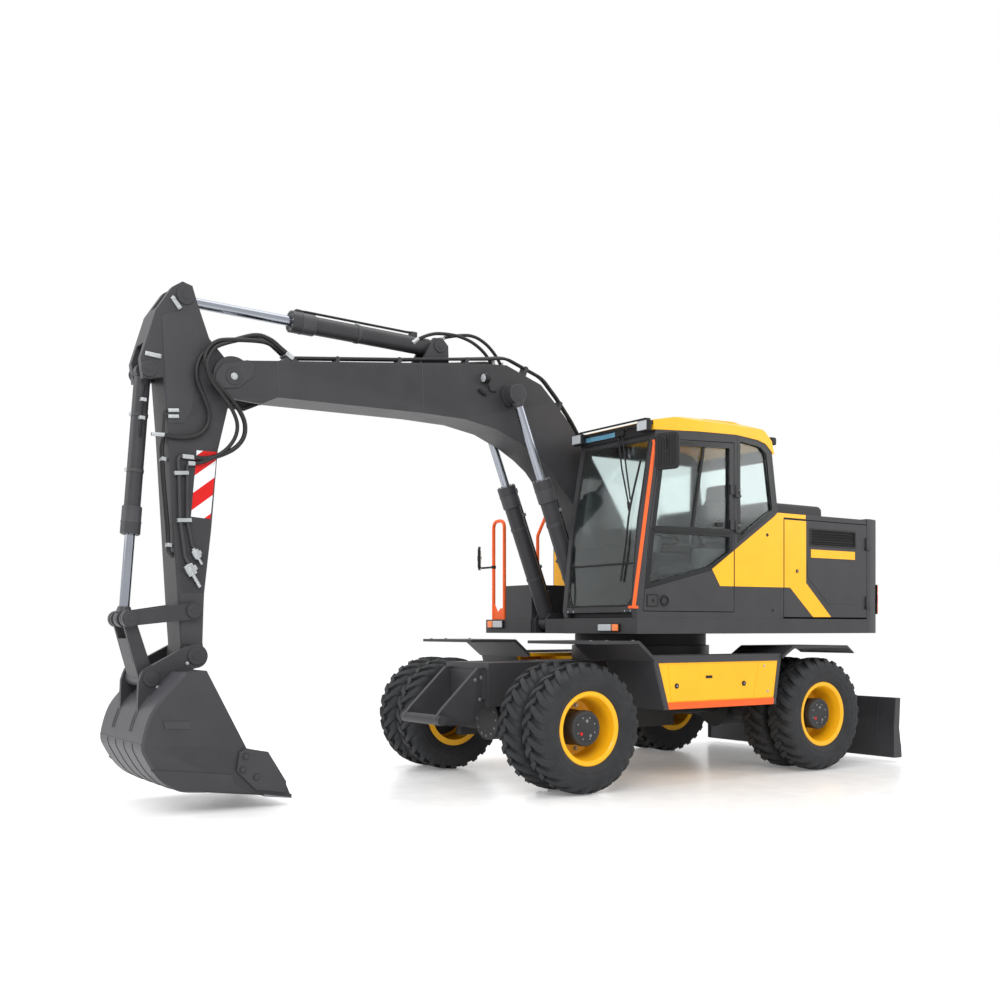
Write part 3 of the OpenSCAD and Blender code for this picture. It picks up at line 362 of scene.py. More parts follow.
class Piece:
    """One mesh gathered from simple forms, which rides on a body."""

    def __init__(self, name, body, slot, base=SLEW):
        self.name = name
        self.body = body
        self.slot = slot
        self.base = base
        self.bm = bmesh.new()
        self.mats = []

    def take(self, bm, material):
        if material not in self.mats:
            self.mats.append(material)
        index = self.mats.index(material)
        bmesh.ops.recalc_face_normals(bm, faces=bm.faces)
        for f in bm.faces:
            f.material_index = index
            f.smooth = True
        bmesh.ops.transform(bm, matrix=self.base, verts=bm.verts)
        part = bpy.data.meshes.new("part")
        bm.to_mesh(part)
        bm.free()
        self.bm.from_mesh(part)
        bpy.data.meshes.remove(part)

    def solid(self, verts, faces, material, bevel=0.0, seg=2, turn=None):
        bm = bmesh.new()
        vs = [bm.verts.new(v) for v in verts]
        for f in faces:
            bm.faces.new([vs[i] for i in f])
        if bevel:
            bmesh.ops.recalc_face_normals(bm, faces=bm.faces)
            ease(bm, bevel, 0.5, seg)
        if turn:
            bmesh.ops.transform(bm, matrix=turn, verts=bm.verts)
        self.take(bm, material)

    def box(self, lo, hi, material, bevel=0.0, seg=2, turn=None):
        xs, ys, zs = (sorted(pair) for pair in zip(lo, hi))
        verts = [(x, y, z) for x in xs for y in ys for z in zs]
        faces = [(0, 1, 3, 2), (4, 6, 7, 5), (0, 4, 5, 1), (2, 3, 7, 6), (0, 2, 6, 4), (1, 5, 7, 3)]
        self.solid(verts, faces, material, bevel, seg, turn)

    def plate(self, outline, y0, y1, material, bevel=0.0, seg=2, turn=None):
        """Plate with an outline in X and Z, between y0 and y1."""
        n = len(outline)
        verts = [(x, y, z) for y in sorted((y0, y1)) for x, z in outline]
        faces = [tuple(range(n)), tuple(range(2 * n - 1, n - 1, -1))]
        faces += [(i, i + n, (i + 1) % n + n, (i + 1) % n) for i in range(n)]
        self.solid(verts, faces, material, bevel, seg, turn)

    def ring(self, outline, hole, y0, y1, material, bevel=0.0):
        """Frame between two outlines with the same number of corners."""
        n = len(outline)
        verts = [(x, y, z) for y in sorted((y0, y1)) for loop in (outline, hole) for x, z in loop]
        faces = []
        for i in range(n):
            j = (i + 1) % n
            faces += [(i, j, j + n, i + n), (i + 2 * n, i + 3 * n, j + 3 * n, j + 2 * n),
                      (i, i + 2 * n, j + 2 * n, j), (i + n, j + n, j + 3 * n, i + 3 * n)]
        self.solid(verts, faces, material, bevel)

    def lathe(self, origin, axis, profile, material, n=48, closed=False):
        """Turned form: profile is a list of (distance along the axis, radius)."""
        axis = Vector(axis).normalized()
        a, b = frame_of(axis)
        bm = bmesh.new()
        loops = []
        for h, r in profile:
            at = Vector(origin) + axis * h
            if r < 1e-6:
                loops.append([bm.verts.new(at)])
            else:
                loops.append([bm.verts.new(at + (a * c + b * s) * r) for c, s in around(n)])
        for p, q in zip(loops, loops[1:] + loops[:1] if closed else loops[1:]):
            for k in range(n):
                m = (k + 1) % n
                if len(p) == 1 and len(q) == 1:
                    continue
                if len(p) == 1:
                    bm.faces.new((p[0], q[k], q[m]))
                elif len(q) == 1:
                    bm.faces.new((p[k], q[0], p[m]))
                else:
                    bm.faces.new((p[k], q[k], q[m], p[m]))
        self.take(bm, material)

    def drum(self, a, b, r, material, n=32, bevel=3.0):
        """Closed round bar from a to b, with chamfered ends."""
        a, b = Vector(a), Vector(b)
        h = (b - a).length
        c = min(bevel, h / 3, r * 0.5)
        half = [(0, 0), (0, r - c), (c * 0.3, r - c * 0.3), (c, r)]
        self.lathe(a, b - a, half + [(h - d, rr) for d, rr in reversed(half)], material, n)

    def tube(self, points, r, material, n=10, steps=1):
        """Round bar along a way, closed at both ends."""
        way = spline(points, steps)
        bm = bmesh.new()
        loops = []
        side = frame_of(way[1] - way[0])[0]
        for i, p in enumerate(way):
            ahead = (way[min(i + 1, len(way) - 1)] - way[max(i - 1, 0)]).normalized()
            side = (side - ahead * side.dot(ahead)).normalized()
            up = ahead.cross(side)
            loops.append([bm.verts.new(p + (side * c + up * s) * r) for c, s in around(n)])
        for p, q in zip(loops, loops[1:]):
            for k in range(n):
                bm.faces.new((p[k], q[k], q[(k + 1) % n], p[(k + 1) % n]))
        bm.faces.new(loops[0][::-1])
        bm.faces.new(loops[-1])
        self.take(bm, material)

    def pipe(self, points, bend, r, material, n=12):
        """Round bar along straight runs with round bends."""
        self.tube(bent(points, bend), r, material, n)

    def bolt(self, at, axis, r, h, material, washer=True):
        """Hexagon head on a washer, standing on a surface."""
        at, axis = Vector(at), Vector(axis).normalized()
        if washer:
            self.drum(at - axis, at + axis * r * 0.22, r * 1.3, material, 20, 1)
        self.lathe(at, axis, [(0, 0), (0, r), (h * 0.8, r), (h, r * 0.8), (h, 0)], material, 6)

    def done(self, *nodes, sharp=38):
        mesh = bpy.data.meshes.new(self.name)
        self.bm.to_mesh(mesh)
        self.bm.free()
        for material in self.mats:
            mesh.materials.append(material)
        return settle(self.name, mesh, self.body, nodes, sharp)


def ease(bm, width, least, seg=2):
    """Rounds the edges whose faces turn by more than the least angle."""
    edges = [e for e in bm.edges if len(e.link_faces) == 2 and e.calc_face_angle() > least]
    bmesh.ops.bevel(bm, geom=edges, offset=width, segments=seg, profile=0.6, affect="EDGES",
                    clamp_overlap=True)


def settle(name, mesh, body, nodes, sharp):
    mesh.set_sharp_from_angle(angle=math.radians(sharp))
    ob = bpy.data.objects.new(name, mesh)
    SCENE.collection.objects.link(ob)
    mod = ob.modifiers.new("normals", "WEIGHTED_NORMAL")
    mod.keep_sharp = True
    mod.weight = 80
    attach(ob, body)
    if nodes:
        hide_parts(*nodes)
    return ob


def softened(node, material, width, hard):
    """The node's own solid with its hard edges eased, which stands for the node."""
    src = frame["nodes"][node]
    bm = bmesh.new()
    bm.from_mesh(src.data)
    bmesh.ops.remove_doubles(bm, verts=bm.verts, dist=2e-5)
    bmesh.ops.dissolve_limit(bm, angle_limit=math.radians(1), verts=bm.verts, edges=bm.edges)
    ease(bm, width * 0.001, math.radians(hard))
    for f in bm.faces:
        f.smooth = True
        f.material_index = 0
    mesh = bpy.data.meshes.new(node + "_eased")
    bm.to_mesh(mesh)
    bm.free()
    mesh.materials.append(material)
    settle(node + "_eased", mesh, src["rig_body"], (node,), hard + 3)


# Solids kept with eased edges, with the width of the easing

EASED = (
    ("charcoal", CHARCOAL, dict(chassis_frame=6, front_bracket=5, blade=5, blade_barrels=3, boom=5, arm=5,
                                bucket=4, bucket_link=7, rocker_links=7, boom_barrels=4, arm_barrel=4,
                                bucket_barrel=4)),
    ("charcoal", PANEL, dict(fenders=4, upper_frame=6, counterweight=38)),
    ("dark", CAST, dict(front_axle=8, rear_axle=8, drive_line=6, knuckle_left=6, knuckle_right=6,
                        slew_ring=5)),
    ("dark", PANEL, dict(house_frame=4, fuel_tank=25, tool_box=25, cab_left=6, cab_right_wall=6,
                         cab_front_bars=6, cab_rear_wall=6, cab_door=6)),
    ("dark", BLACK, dict(cab_floor=4)),
    ("yellow", YELLOW, dict(step_boxes=5, cab_roof=22)),
    ("yellow", PANEL, dict(hood=5, left_door=8, right_door=8)),
    ("engine", ENGINE, dict(engine_block=12)))
for slot, material, widths in EASED:
    for node, width in widths.items():
        softened(node, material, width, 60 if node == "bucket" else 35)

for node, material in (("boom_rods", CHROME), ("arm_rod", CHROME), ("bucket_rod", CHROME),
                       ("blade_rods", CHROME), ("cab_glass", GLASS), ("door_glass", GLASS)):
    frame["nodes"][node].data.materials.clear()
    frame["nodes"][node].data.materials.append(material)


# Wheels

FRONT_X, REAR_X, AXLE_Z = 1600, -1100, 510
TYRE_HALF = 137.5
INNER_Y, OUTER_Y, DISC_Y = 815, 1135, 960
LUGS = 26
# Half of a tyre's outline, as (distance from the middle plane, radius)
CARCASS = [(88, 256), (95, 285), (112, 300), (128, 335), (135, 375), (136, 408), (131, 440), (121, 462),
           (104, 474), (70, 479), (30, 481), (0, 482)]
RIDGES = (335, 375)
# Sections of a lug: distance from the middle plane, radius, turn, half width as an angle, height
LUG = [(-12, 481, 0.0, 0.052, 29), (34, 481, 0.055, 0.068, 29), (74, 478, 0.115, 0.074, 28.5),
       (104, 471, 0.16, 0.074, 24), (124, 452, 0.185, 0.066, 18), (133, 425, 0.195, 0.05, 2)]
SHOULDER = 3


def add_lug(piece, centre, axis, row, start):
    """Bar of the tread, narrower at its top, from the middle of the tyre over the shoulder."""
    verts = []
    for i, (y, r, turn, wide, out) in enumerate(LUG):
        for d, top in ((-1, -8), (-0.8, out - 5), (-0.66, out), (0.66, out), (0.8, out - 5), (1, -8)):
            over = i >= SHOULDER and top > 0
            reach = min(y + 5 if over else y, TYRE_HALF)
            height = r + top - (4 if over else 0)
            verts.append(point_about(centre, axis, row * reach, start + turn + d * wide, height))
    m = 6
    last = (len(LUG) - 1) * m
    faces = [tuple(range(m)), tuple(range(last + m - 1, last - 1, -1))]
    for i in range(0, last, m):
        for j in range(m):
            k = (j + 1) % m
            faces.append((i + j, i + k, i + m + k, i + m + j))
    piece.solid(verts, faces, RUBBER)


def add_tyre(piece, centre, axis):
    half = []
    for y, r in CARCASS:
        half.append((y, r))
        if r in RIDGES:
            half += [(y + 2.2, r + 4), (y + 2.2, r + 9), (y + 0.6, r + 13)]
    piece.lathe(centre, axis, half + [(-y, r) for y, r in reversed(half[:-1])], RUBBER, 120)
    for row, shift in ((-1, 0), (1, 0.5)):
        for k in range(LUGS):
            add_lug(piece, centre, axis, row, 2 * math.pi * (k + shift) / LUGS)


def add_wheel(corner, x, side):
    body = "wheel_" + corner
    axis = Vector((0, side, 0))
    centre = Vector((x, 0, AXLE_Z))
    tyres = Piece("tyres_" + corner + "_treaded", body, "tyre")
    for y in (INNER_Y, OUTER_Y):
        add_tyre(tyres, centre + axis * y, axis)
    tyres.done("tyres_" + corner, sharp=50)
    rims = Piece("rims_" + corner + "_dished", body, "yellow")
    inner, outer, disc = INNER_Y - 105, OUTER_Y + 105, DISC_Y
    flange = [(0, 284), (5, 291), (13, 291), (17, 284), (17, 255), (60, 253), (90, 244)]
    section = [(inner, 240)] + [(inner + d, r) for d, r in flange] + [(disc - 60, 244), (disc + 60, 244)]
    section += [(outer - d, r) for d, r in reversed(flange)]
    section += [(outer - d, r) for d, r in ((1, 262), (12, 250), (30, 247), (44, 240), (90, 234))]
    section += [(disc + d, r) for d, r in ((60, 231), (34, 222), (26, 200), (26, 142), (0, 142), (0, 238))]
    rims.lathe(centre, axis, section + [(inner + 40, 236)], YELLOW, 96, closed=True)
    for k in range(10):
        rims.bolt(point_about(centre, axis, disc + 26, 2 * math.pi * k / 10, 178), axis, 15, 24, ZINC)
    rims.done("rims_" + corner)
    hub = Piece("hub_" + corner + "_bolted", body, "dark")
    face = OUTER_Y + 65
    section = [(inner + d, r) for d, r in ((-5, 0), (-5, 104), (0, 110), (50, 110), (50, 125))]
    section += [(disc + d, r) for d, r in ((-30, 125), (-30, 200), (-26, 205), (-3, 205), (0, 200), (0, 140),
                                           (70, 140), (74, 136))]
    section += [(face - d, r) for d, r in ((60, 136), (56, 140), (14, 140), (4, 134), (0, 126), (0, 108),
                                           (4, 104), (4, 0))]
    hub.lathe(centre, axis, section, CAST, 64)
    for k in range(8):
        spot = point_about(centre, axis, face - 4, 2 * math.pi * (k + 0.5) / 8, 88)
        hub.bolt(spot, axis, 8, 4, STEEL_EDGE, washer=False)
    for angle, r, material in ((0.7, 62, RED), (2.2, 70, STEEL_EDGE), (4.6, 58, STEEL_EDGE)):
        spot = point_about(centre, axis, face - 4, angle, r)
        hub.drum(spot - axis * 2, spot + axis * 3.5, 13, material, 20, 1)
    hub.done("hub_" + corner)


for corner, x, side in (("fl", FRONT_X, 1), ("fr", FRONT_X, -1), ("rl", REAR_X, 1), ("rr", REAR_X, -1)):
    add_wheel(corner, x, side)


# Handrails

SIDE = 1230
rails = Piece("handrails_bent", "upper", "orange")
rails.pipe([(860, -1183, 1371), (860, -1183, 2330), (860, -998, 2330), (860, -998, 1371)], 75, 17, ORANGE, 18)
rails.plate([(-1190, 1371), (-991, 1371), (-991, 1480), (-1060, 1480), (-1110, 1440), (-1190, 1560)], -6, 6,
            ORANGE, 3, turn=placed((860, 0, 0), 90, "Z"))
rails.pipe([(350, -1150, 1561), (350, -1150, 2215), (228, -1150, 2459), (-420, -1150, 2459),
            (-420, -1150, 2151)], 110, 17, ORANGE, 18)
for x, z in ((350, 1560.5), (-420, 2150.5)):
    rails.drum((x, -1150, z), (x, -1150, z + 9), 36, ORANGE, 28, 2)
rails.tube([(1165, 1250, 1448), (940, 1250, 2794)], 15, ORANGE, 20)
rails.box((1125.6, 1202, 1441), (1184, 1264, 1463), ORANGE, 6)
rails.box((905, SIDE + 0.6, 2775), (955, 1264, 2798), ORANGE, 6)
rails.bolt((1150, 1226, 1463), (0, 0, 1), 9, 8, ZINC)
rails.bolt((918, 1262, 2786), (0, 1, 0), 7, 6, ZINC)
rails.done("handrails")


# Lamps

lamps = Piece("lamps_detailed", "upper", "lamp")
lamps.box((940.4, 274, 2926), (961, 1231, 2954), BLACK, 5)
for y in (327.5, 1177.5):
    lamps.box((960, y - 63, 2866), (1014, y + 63, 2959), BLACK, 14, 3)
    lamps.box((1012, y - 54, 2876), (1022, y + 54, 2950), LENS_WHITE, 4)
    for k in range(-2, 3):
        lamps.box((980, y + k * 22 - 3, 2957), (1005, y + k * 22 + 3, 2963), BLACK, 1)
lamps.box((-542, 1113, 2896), (-468, 1197, 2964), BLACK, 18, 3)
lamps.box((-545, 1122, 2906), (-539, 1188, 2954), LENS_WHITE, 3)
lamps.box((-490, 1138, 2879), (-447, 1172, 2900), BLACK, 3)
lamps.box((-470, 1150, 2866), (-452, 1176, 2884), ORANGE, 4)
lamps.box((1110.4, 760, 1256), (1128, 1026, 1324), BLACK, 6)
lamps.box((1126, 768, 1262), (1139, 932, 1318), LENS_WHITE, 8, 3)
lamps.box((1126, 946, 1262), (1139, 1020, 1318), LENS_AMBER, 8, 3)
lamps.box((920.4, -1171, 1286), (938, -912, 1364), BLACK, 6)
lamps.box((936, -1074, 1294), (949, -920, 1357), LENS_WHITE, 6, 3)
lamps.box((936, -1164, 1294), (949, -1086, 1357), LENS_AMBER, 6, 3)
for s in (1, -1):
    corner = placed((-1780, s * 980, 1420), 135 * s, "Z")
    lamps.box((250.5, -60, 0), (258, 60, 280), BLACK, 3, turn=corner)
    for lo, hi, lens in ((6, 90, LENS_AMBER), (96, 190, LENS_RED), (196, 274, LENS_AMBER)):
        lamps.box((257, -54, lo), (264, 54, hi), lens, 3, turn=corner)
lamps.done("lamps")


# Mirrors, with half their width, height and thickness

mirrors = Piece("mirrors_detailed", "upper", "dark")
for place, angle, w, h, t in (((922, 1381.3, 2692.5), 17, 107.5, 147.5, 20),
                              ((880, -1401.1, 1980), -33.5, 95, 115, 17.5)):
    turn = placed(place, angle, "Z") @ QUARTER
    mirrors.plate(rounded(-w, -h, w, h, 42), -t, t - 8, BLACK, 9, 3, turn)
    mirrors.plate(rounded(9 - w, 9 - h, w - 9, h - 9, 34), t - 9, t - 5, MIRROR, 1, 1, turn)
    for k in range(-3, 4):
        x = k * w / 4.5
        mirrors.box((x - 3, -t - 4, 26 - h), (x + 3, 3 - t, h - 26), BLACK, 1.5, turn=turn)
    mirrors.drum(turn @ Vector((0, -t - 7, 0)), turn @ Vector((0, 5 - t, 0)), 26, BLACK, 28, 3)
mirrors.pipe([(892, 1232, 2815), (938, 1268, 2815), (950, 1320, 2815), (948, 1385, 2790), (948, 1388, 2700)],
             30, 10, BLACK)
mirrors.box((876, SIDE + 0.5, 2800), (918, 1246, 2830), BLACK, 4)
mirrors.pipe([(862, -1200.5, 1885), (862, -1436, 1885), (850, -1436, 1990), (866, -1404, 1992)], 26, 10,
             BLACK)
mirrors.drum((860, -1183, 1870), (860, -1183, 1900), 23, BLACK, 24, 3)
mirrors.done("mirrors")


# Seat and controls


def bulged(value, power):
    """Power of a value that keeps its sign."""
    return math.copysign(abs(value) ** power, value)


def cushion(name, size, turn, crown, seam=True):
    """Crowned pad whose sides pull in between its corners, with a sewn edge round its middle."""
    a, b, c = (s / 2 for s in size)
    rows, cols = 22, 56
    bm = bmesh.new()
    loops = []
    for i in range(rows + 1):
        th = -math.pi / 2 + math.pi * i / rows
        flat = abs(math.cos(th)) ** 0.38
        rise = bulged(math.sin(th), 0.55)
        groove = 0.985 if seam and abs(math.sin(th)) < 0.08 else 1.0
        loop = []
        for cp, sp in around(cols):
            x = bulged(cp, 0.36) * flat
            y = bulged(sp, 0.36) * flat
            pull_x = 1 - 0.035 * (1 - min(1, abs(y)) ** 3) * abs(x)
            pull_y = 1 - 0.035 * (1 - min(1, abs(x)) ** 3) * abs(y)
            z = rise * c
            if rise > 0:
                z = rise * (c - crown) + rise * crown * (1 - x * x) * (1 - y * y)
                for line in (-0.36, 0.36):
                    z -= 7 * math.exp(-((y - line) / 0.035) ** 2) * (1 if abs(x) < 0.86 else 0)
                z -= 6 * math.exp(-((x - 0.3) / 0.035) ** 2) * (1 if abs(y) < 0.34 else 0)
            loop.append(bm.verts.new((x * a * pull_x * groove, y * b * pull_y * groove, z)))
            if i in (0, rows):
                break
        loops.append(loop)
    for p, q in zip(loops, loops[1:]):
        for k in range(cols):
            m = (k + 1) % cols
            if len(p) == 1:
                bm.faces.new((p[0], q[m], q[k]))
            elif len(q) == 1:
                bm.faces.new((p[k], p[m], q[0]))
            else:
                bm.faces.new((p[k], p[m], q[m], q[k]))
    bmesh.ops.transform(bm, matrix=turn, verts=bm.verts)
    pad = Piece(name, "upper", "seat")
    pad.take(bm, FABRIC)
    ob = pad.done(sharp=80)


SEAT_Y = 752.5
RECLINE = placed((-190, SEAT_Y, 2130), -6)
seat = Piece("seat_frame", "upper", "plastic")
seat.box((-180, SEAT_Y - 200, 1410.5), (180, SEAT_Y + 200, 1470), BLACK, 10)
for k in range(5):
    seat.box((-165, SEAT_Y - 185, 1472 + k * 42), (165, SEAT_Y + 185, 1510 + k * 42), BLACK, 16, 3)
seat.box((-205, SEAT_Y - 215, 1684), (240, SEAT_Y + 215, 1736), TRIM, 14, 3)
seat.plate(rounded(-190, -300, 190, 330, 60), -14, 14, TRIM, 6, 2, RECLINE @ placed((-52, 0, 0), 90, "Z"))
for s in (-1, 1):
    seat.drum((-246, SEAT_Y + s * 60, 2395), (-262, SEAT_Y + s * 60, 2460), 8, CHROME, 12, 1)
    seat.box((-170, SEAT_Y + s * 250 - 32, 2010), (170, SEAT_Y + s * 250 + 32, 2050), TRIM, 16, 3)
    seat.box((-190, SEAT_Y + s * 243 - 12, 1900), (-130, SEAT_Y + s * 243 + 12, 2030), BLACK, 6)
seat.done("seat")
cushion("seat_cushion", (520, 480, 130), placed((35, SEAT_Y, 1800), 0), 32)
cushion("seat_back", (560, 450, 110), RECLINE @ placed((8, 0, 0), 270) @ Matrix.Scale(-1, 4, (0, 0, 1)), 26)
cushion("head_rest", (150, 270, 90), placed((-252, SEAT_Y, 2490), 84), 18, False)

GAITER = [(0, 0), (0, 44), (14, 40), (24, 30), (40, 27), (52, 20), (60, 12), (95, 11), (96, 0)]
LEVER = [(0, 0), (0, 17), (20, 23), (60, 25), (90, 21), (104, 12), (107, 0)]
controls = Piece("controls_detailed", "upper", "plastic")
for s in (-1, 1):
    y = SEAT_Y + s * 330
    controls.box((-148, y - 68, 1411), (300, y + 68, 1760), BLACK, 18, 3)
    controls.box((-150, y - 70, 1752), (328, y + 70, 1960), TRIM, 30, 4)
    controls.lathe((270, y, 1955), (0, 0, 1), GAITER, BLACK, 24)
    controls.lathe((270, y, 2045), (0.12, 0, 1), LEVER, BLACK, 20)
    for x, material in ((60, BLACK), (5, LENS_WHITE), (-50, BLACK)):
        controls.drum((x, y, 1958), (x, y, 1966), 13, material, 18, 2)
LEAN = placed((700, SEAT_Y, 1422.5), -20)
controls.box((-55, -55, -4), (55, 55, 46), BLACK, 14, 3, turn=placed((700, SEAT_Y, 1422.5), 0))
controls.drum(LEAN @ Vector((0, 0, 10)), LEAN @ Vector((0, 0, 560)), 34, BLACK, 28, 3)
controls.drum(LEAN @ Vector((0, 0, 540)), LEAN @ Vector((0, 0, 690)), 52, TRIM, 28, 12)
hub_at = LEAN @ Vector((0, 0, 700))
up = LEAN.to_3x3() @ Vector((0, 0, 1))
controls.lathe(hub_at, up, [(s, 176 + c) for c, s in around(12, 14)], BLACK, 48, closed=True)
controls.drum(hub_at - up * 22, hub_at + up * 8, 48, BLACK, 28, 8)
for k in range(3):
    out = LEAN.to_3x3() @ Vector((math.cos(k * 2.094), math.sin(k * 2.094), 0))
    controls.tube([hub_at + out * 30 - up * 6, hub_at + out * 170], 11, BLACK)
for s in (-1, 1):
    controls.box((-60, -35, 0), (60, 35, 10), BLACK, 4, turn=placed((840, SEAT_Y + s * 120, 1470), -38))
controls.box((-8, -105, -75), (14, 105, 75), BLACK, 12, 3, turn=placed((690, 420, 2080), 24, "Z"))
controls.done("controls")


# Cab and house sides

GRAPHIC = [(285, 1780), (-470, 2262), (-512, 2298), (-883, 2298), (-883, 1690), (-1222, 1388), (-977, 1386),
           (-673, 1645), (191, 1640)]
TOP_PANE = [(75, 2120), (920, 2105), (813, 2774), (75, 2814)]
LOW_PANE = [(300, 1800), (985, 1640), (933, 2062), (75, 2062), (75, 1930)]
REAR_PANE = [(-45, 2060), (-45, 2885), (-300, 2858), (-375, 2800), (-450, 2320)]
GRILLE_EDGE = rounded(-1572, 2022, -932, 2184, 14)
GRILLE_HOLE = rounded(-1552, 2038, -952, 2168, 8)
BELT = rounded(-1556, 1920, -948, 1994, 6)


def stripe(piece, a, b, y0, y1, width, material):
    """Thin strip from a to b, which are points in X and Z."""
    a, b = Vector(a), Vector(b)
    u = (b - a).normalized() * width / 2
    n = Vector((-u.y, u.x))
    piece.plate([tuple(p) for p in (a - u - n, b + u - n, b + u + n, a - u + n)], y0, y1, material)


def knob(piece, x, z, y0, y1, r, material, n=20, bevel=2):
    """Round bar across the machine."""
    piece.drum((x, y0, z), (x, y1, z), r, material, n, bevel)


side = Piece("cab_side_trim", "upper", "yellow")
side.box((-549, 1195, 1372), (-517, SIDE - 1, 2250), PANEL, 3)
side.plate(clip(clip(GRAPHIC, 0, 17, -1), 0, -588, 1), SIDE + 0.2, SIDE + 2, YELLOW, 0.6, 1)
side.ring(shrunk(REAR_PANE, -26), shrunk(REAR_PANE, 6), SIDE - 8, SIDE + 1.6, BORDER)
knob(side, -381, 2096, SIDE, SIDE + 5, 15, BLACK)
knob(side, -454, 1444, SIDE, SIDE + 4, 12, BLACK)
for z in (2120, 2420):
    side.box((-46, SIDE + 0.3, z - 26), (-8, SIDE + 10, z + 60), BLACK, 4)
    for dz in (-8, 42):
        side.bolt((-27, SIDE + 10, z + dz), (0, 1, 0), 8, 6, STEEL_EDGE)
side.box((-592, 1150, 1366), (1108, 1226, 1371.5), BLACK, 1)
side.done()

door = Piece("cab_door_trim", "cab_door", "dark")
door.plate(clip(GRAPHIC, 0, 30, 1), SIDE + 0.2, SIDE + 2.4, YELLOW, 0.6, 1)
for loop, lift_y in ((TOP_PANE, 1.8), (LOW_PANE, 1.4)):
    door.ring(shrunk(loop, -34), shrunk(loop, 6), SIDE - 8, SIDE + lift_y, BORDER)
stripe(door, (368, 2790), (495, 2116), SIDE - 20, SIDE - 10, 26, BLACK)
stripe(door, (80, 2092), (925, 2080), SIDE - 2, SIDE + 7, 22, BLACK)
door.box((150, SIDE - 24, 2140), (225, SIDE - 4, 2175), BLACK, 6)
door.plate(rounded(893, 1455, 1012, 1560, 10), SIDE - 0.5, SIDE + 3, BLACK, 1)
door.plate(rounded(906, 1468, 1000, 1547, 8), SIDE + 1, SIDE + 5, CAST, 2)
knob(door, 944, 1508, SIDE + 3, SIDE + 9, 14, BLACK)
door.plate(rounded(752, 1452, 880, 1564, 12), SIDE - 0.5, SIDE + 2, PANEL, 1)
door.lathe((822, SIDE + 8, 1508), (0, 1, 0), [(s, 38 + c) for c, s in around(10, 7)], BLACK, 36, closed=True)
knob(door, 822, 1508, SIDE + 1, SIDE + 5, 26, CAST, 28)
door.done()

panels = Piece("left_door_trim", "left_door", "yellow")
panels.plate(clip(clip(GRAPHIC, 0, -600, -1), 1, 2243, -1), SIDE + 0.2, SIDE + 2, YELLOW, 0.6, 1)
panels.plate(BELT, SIDE + 0.2, SIDE + 3, YELLOW, 0.8, 1)
panels.plate([(-905, 1892), (-1560, 1905), (-1560, 1506), (-1180, 1506), (-905, 1742)], SIDE - 0.5, SIDE + 3,
             PANEL, 2.5)
panels.ring(GRILLE_EDGE, GRILLE_HOLE, SIDE - 0.5, SIDE + 4, BLACK, 1.5)
knob(panels, -764, 1793, SIDE, SIDE + 6, 17, BLACK)
knob(panels, -764, 1793, SIDE + 5, SIDE + 8, 9, STEEL_EDGE, 16, 1)
panels.done()
mesh_l = Piece("left_door_grille", "left_door", "dark")
mesh_r = Piece("right_door_grille", "right_door", "dark")
for piece, s in ((mesh_l, 1), (mesh_r, -1)):
    for row in range(7):
        z = 2046 + row * 19
        for col in range(22):
            x = -1546 + col * 27.5 + (13.7 if row % 2 else 0)
            if x <= -962:
                hexagon, hole = ([(x + dx, z + dz) for dx, dz in around(6, r, 0.5)] for r in (9.5, 6.8))
                piece.ring(hexagon, hole, s * (SIDE - 4.5), s * (SIDE - 1), BLACK)
mesh_l.done()
mesh_r.ring(GRILLE_EDGE, GRILLE_HOLE, -SIDE - 4, -SIDE + 0.5, BLACK, 1.5)
mesh_r.plate(BELT, -SIDE - 3, -SIDE - 0.2, YELLOW, 0.8, 1)
mesh_r.plate(rounded(-1560, 1506, -700, 1900, 12), -SIDE - 3, -SIDE + 0.5, PANEL, 2.5)
knob(mesh_r, -650, 1793, -SIDE - 6, -SIDE, 17, BLACK)
mesh_r.done()
hoods = Piece("hood_trim", "hood", "yellow")
hoods.plate(clip(GRAPHIC, 1, 2262, 1), 1225.2, 1227, YELLOW, 0.6, 1)
hoods.done()


# Windscreen, wipers and visor


def on_screen(y, z, out):
    """Point at a distance in front of the windscreen, which leans back more in its upper part."""
    x = 1113 - (z - 1461) * 68 / 689 if z < 2150 else 1045 - (z - 2150) * 126 / 664
    return Vector((x + out, y, z))


front = Piece("windscreen_trim", "upper", "dark")
for y in (338, 1167):
    front.tube([on_screen(y, z, 2) for z in (1462, 1800, 2150, 2500, 2812)], 9, BLACK, 8)
for z in (1466, 1808, 2808):
    front.tube([on_screen(y, z, 2) for y in (336, 700, 1169)], 9, BLACK, 8)
for y, s in ((372, -1), (1133, 1)):
    spots = ((y + s * 36, 1466), (y - s * 30, 1466), (y + s * 36, 1540))
    front.solid([on_screen(w, z, out) for w, z in spots for out in (0, 5)],
                [(0, 2, 4), (1, 5, 3), (0, 1, 3, 2), (2, 3, 5, 4), (4, 5, 1, 0)], BLACK)
for y0, y1, y2, y3, z3 in ((805, 815, 905, 1040, 2310), (860, 868, 960, 1062, 2330)):
    front.pipe([(935, y0, 2905), (952, y1, 2860), on_screen(y2, 2600, 34), on_screen(y3, z3, 26)], 60, 7,
               BLACK, 10)
front.box((934, 780, 2880), (966, 890, 2926), BLACK, 8)
front.tube([on_screen(1113, 2661, 18), on_screen(1065, 2260, 18), on_screen(1057, 1943, 18),
            on_screen(1026, 1664, 16)], 9, BLACK, 10, 4)
front.tube([on_screen(1040, 2310, 26), on_screen(1063, 2240, 20)], 12, BLACK)
front.tube([on_screen(345, 1992, 16), on_screen(352, 1669, 16)], 8, BLACK, 8)
front.pipe([(1118, 420, 1440), on_screen(380, 1600, 30), on_screen(348, 1830, 20)], 40, 7, BLACK, 10)
for y in (345, 420, 1090, 1160):
    front.bolt((1119, y, 1425), (1, 0, 0), 7, 5, ZINC)
front.done()
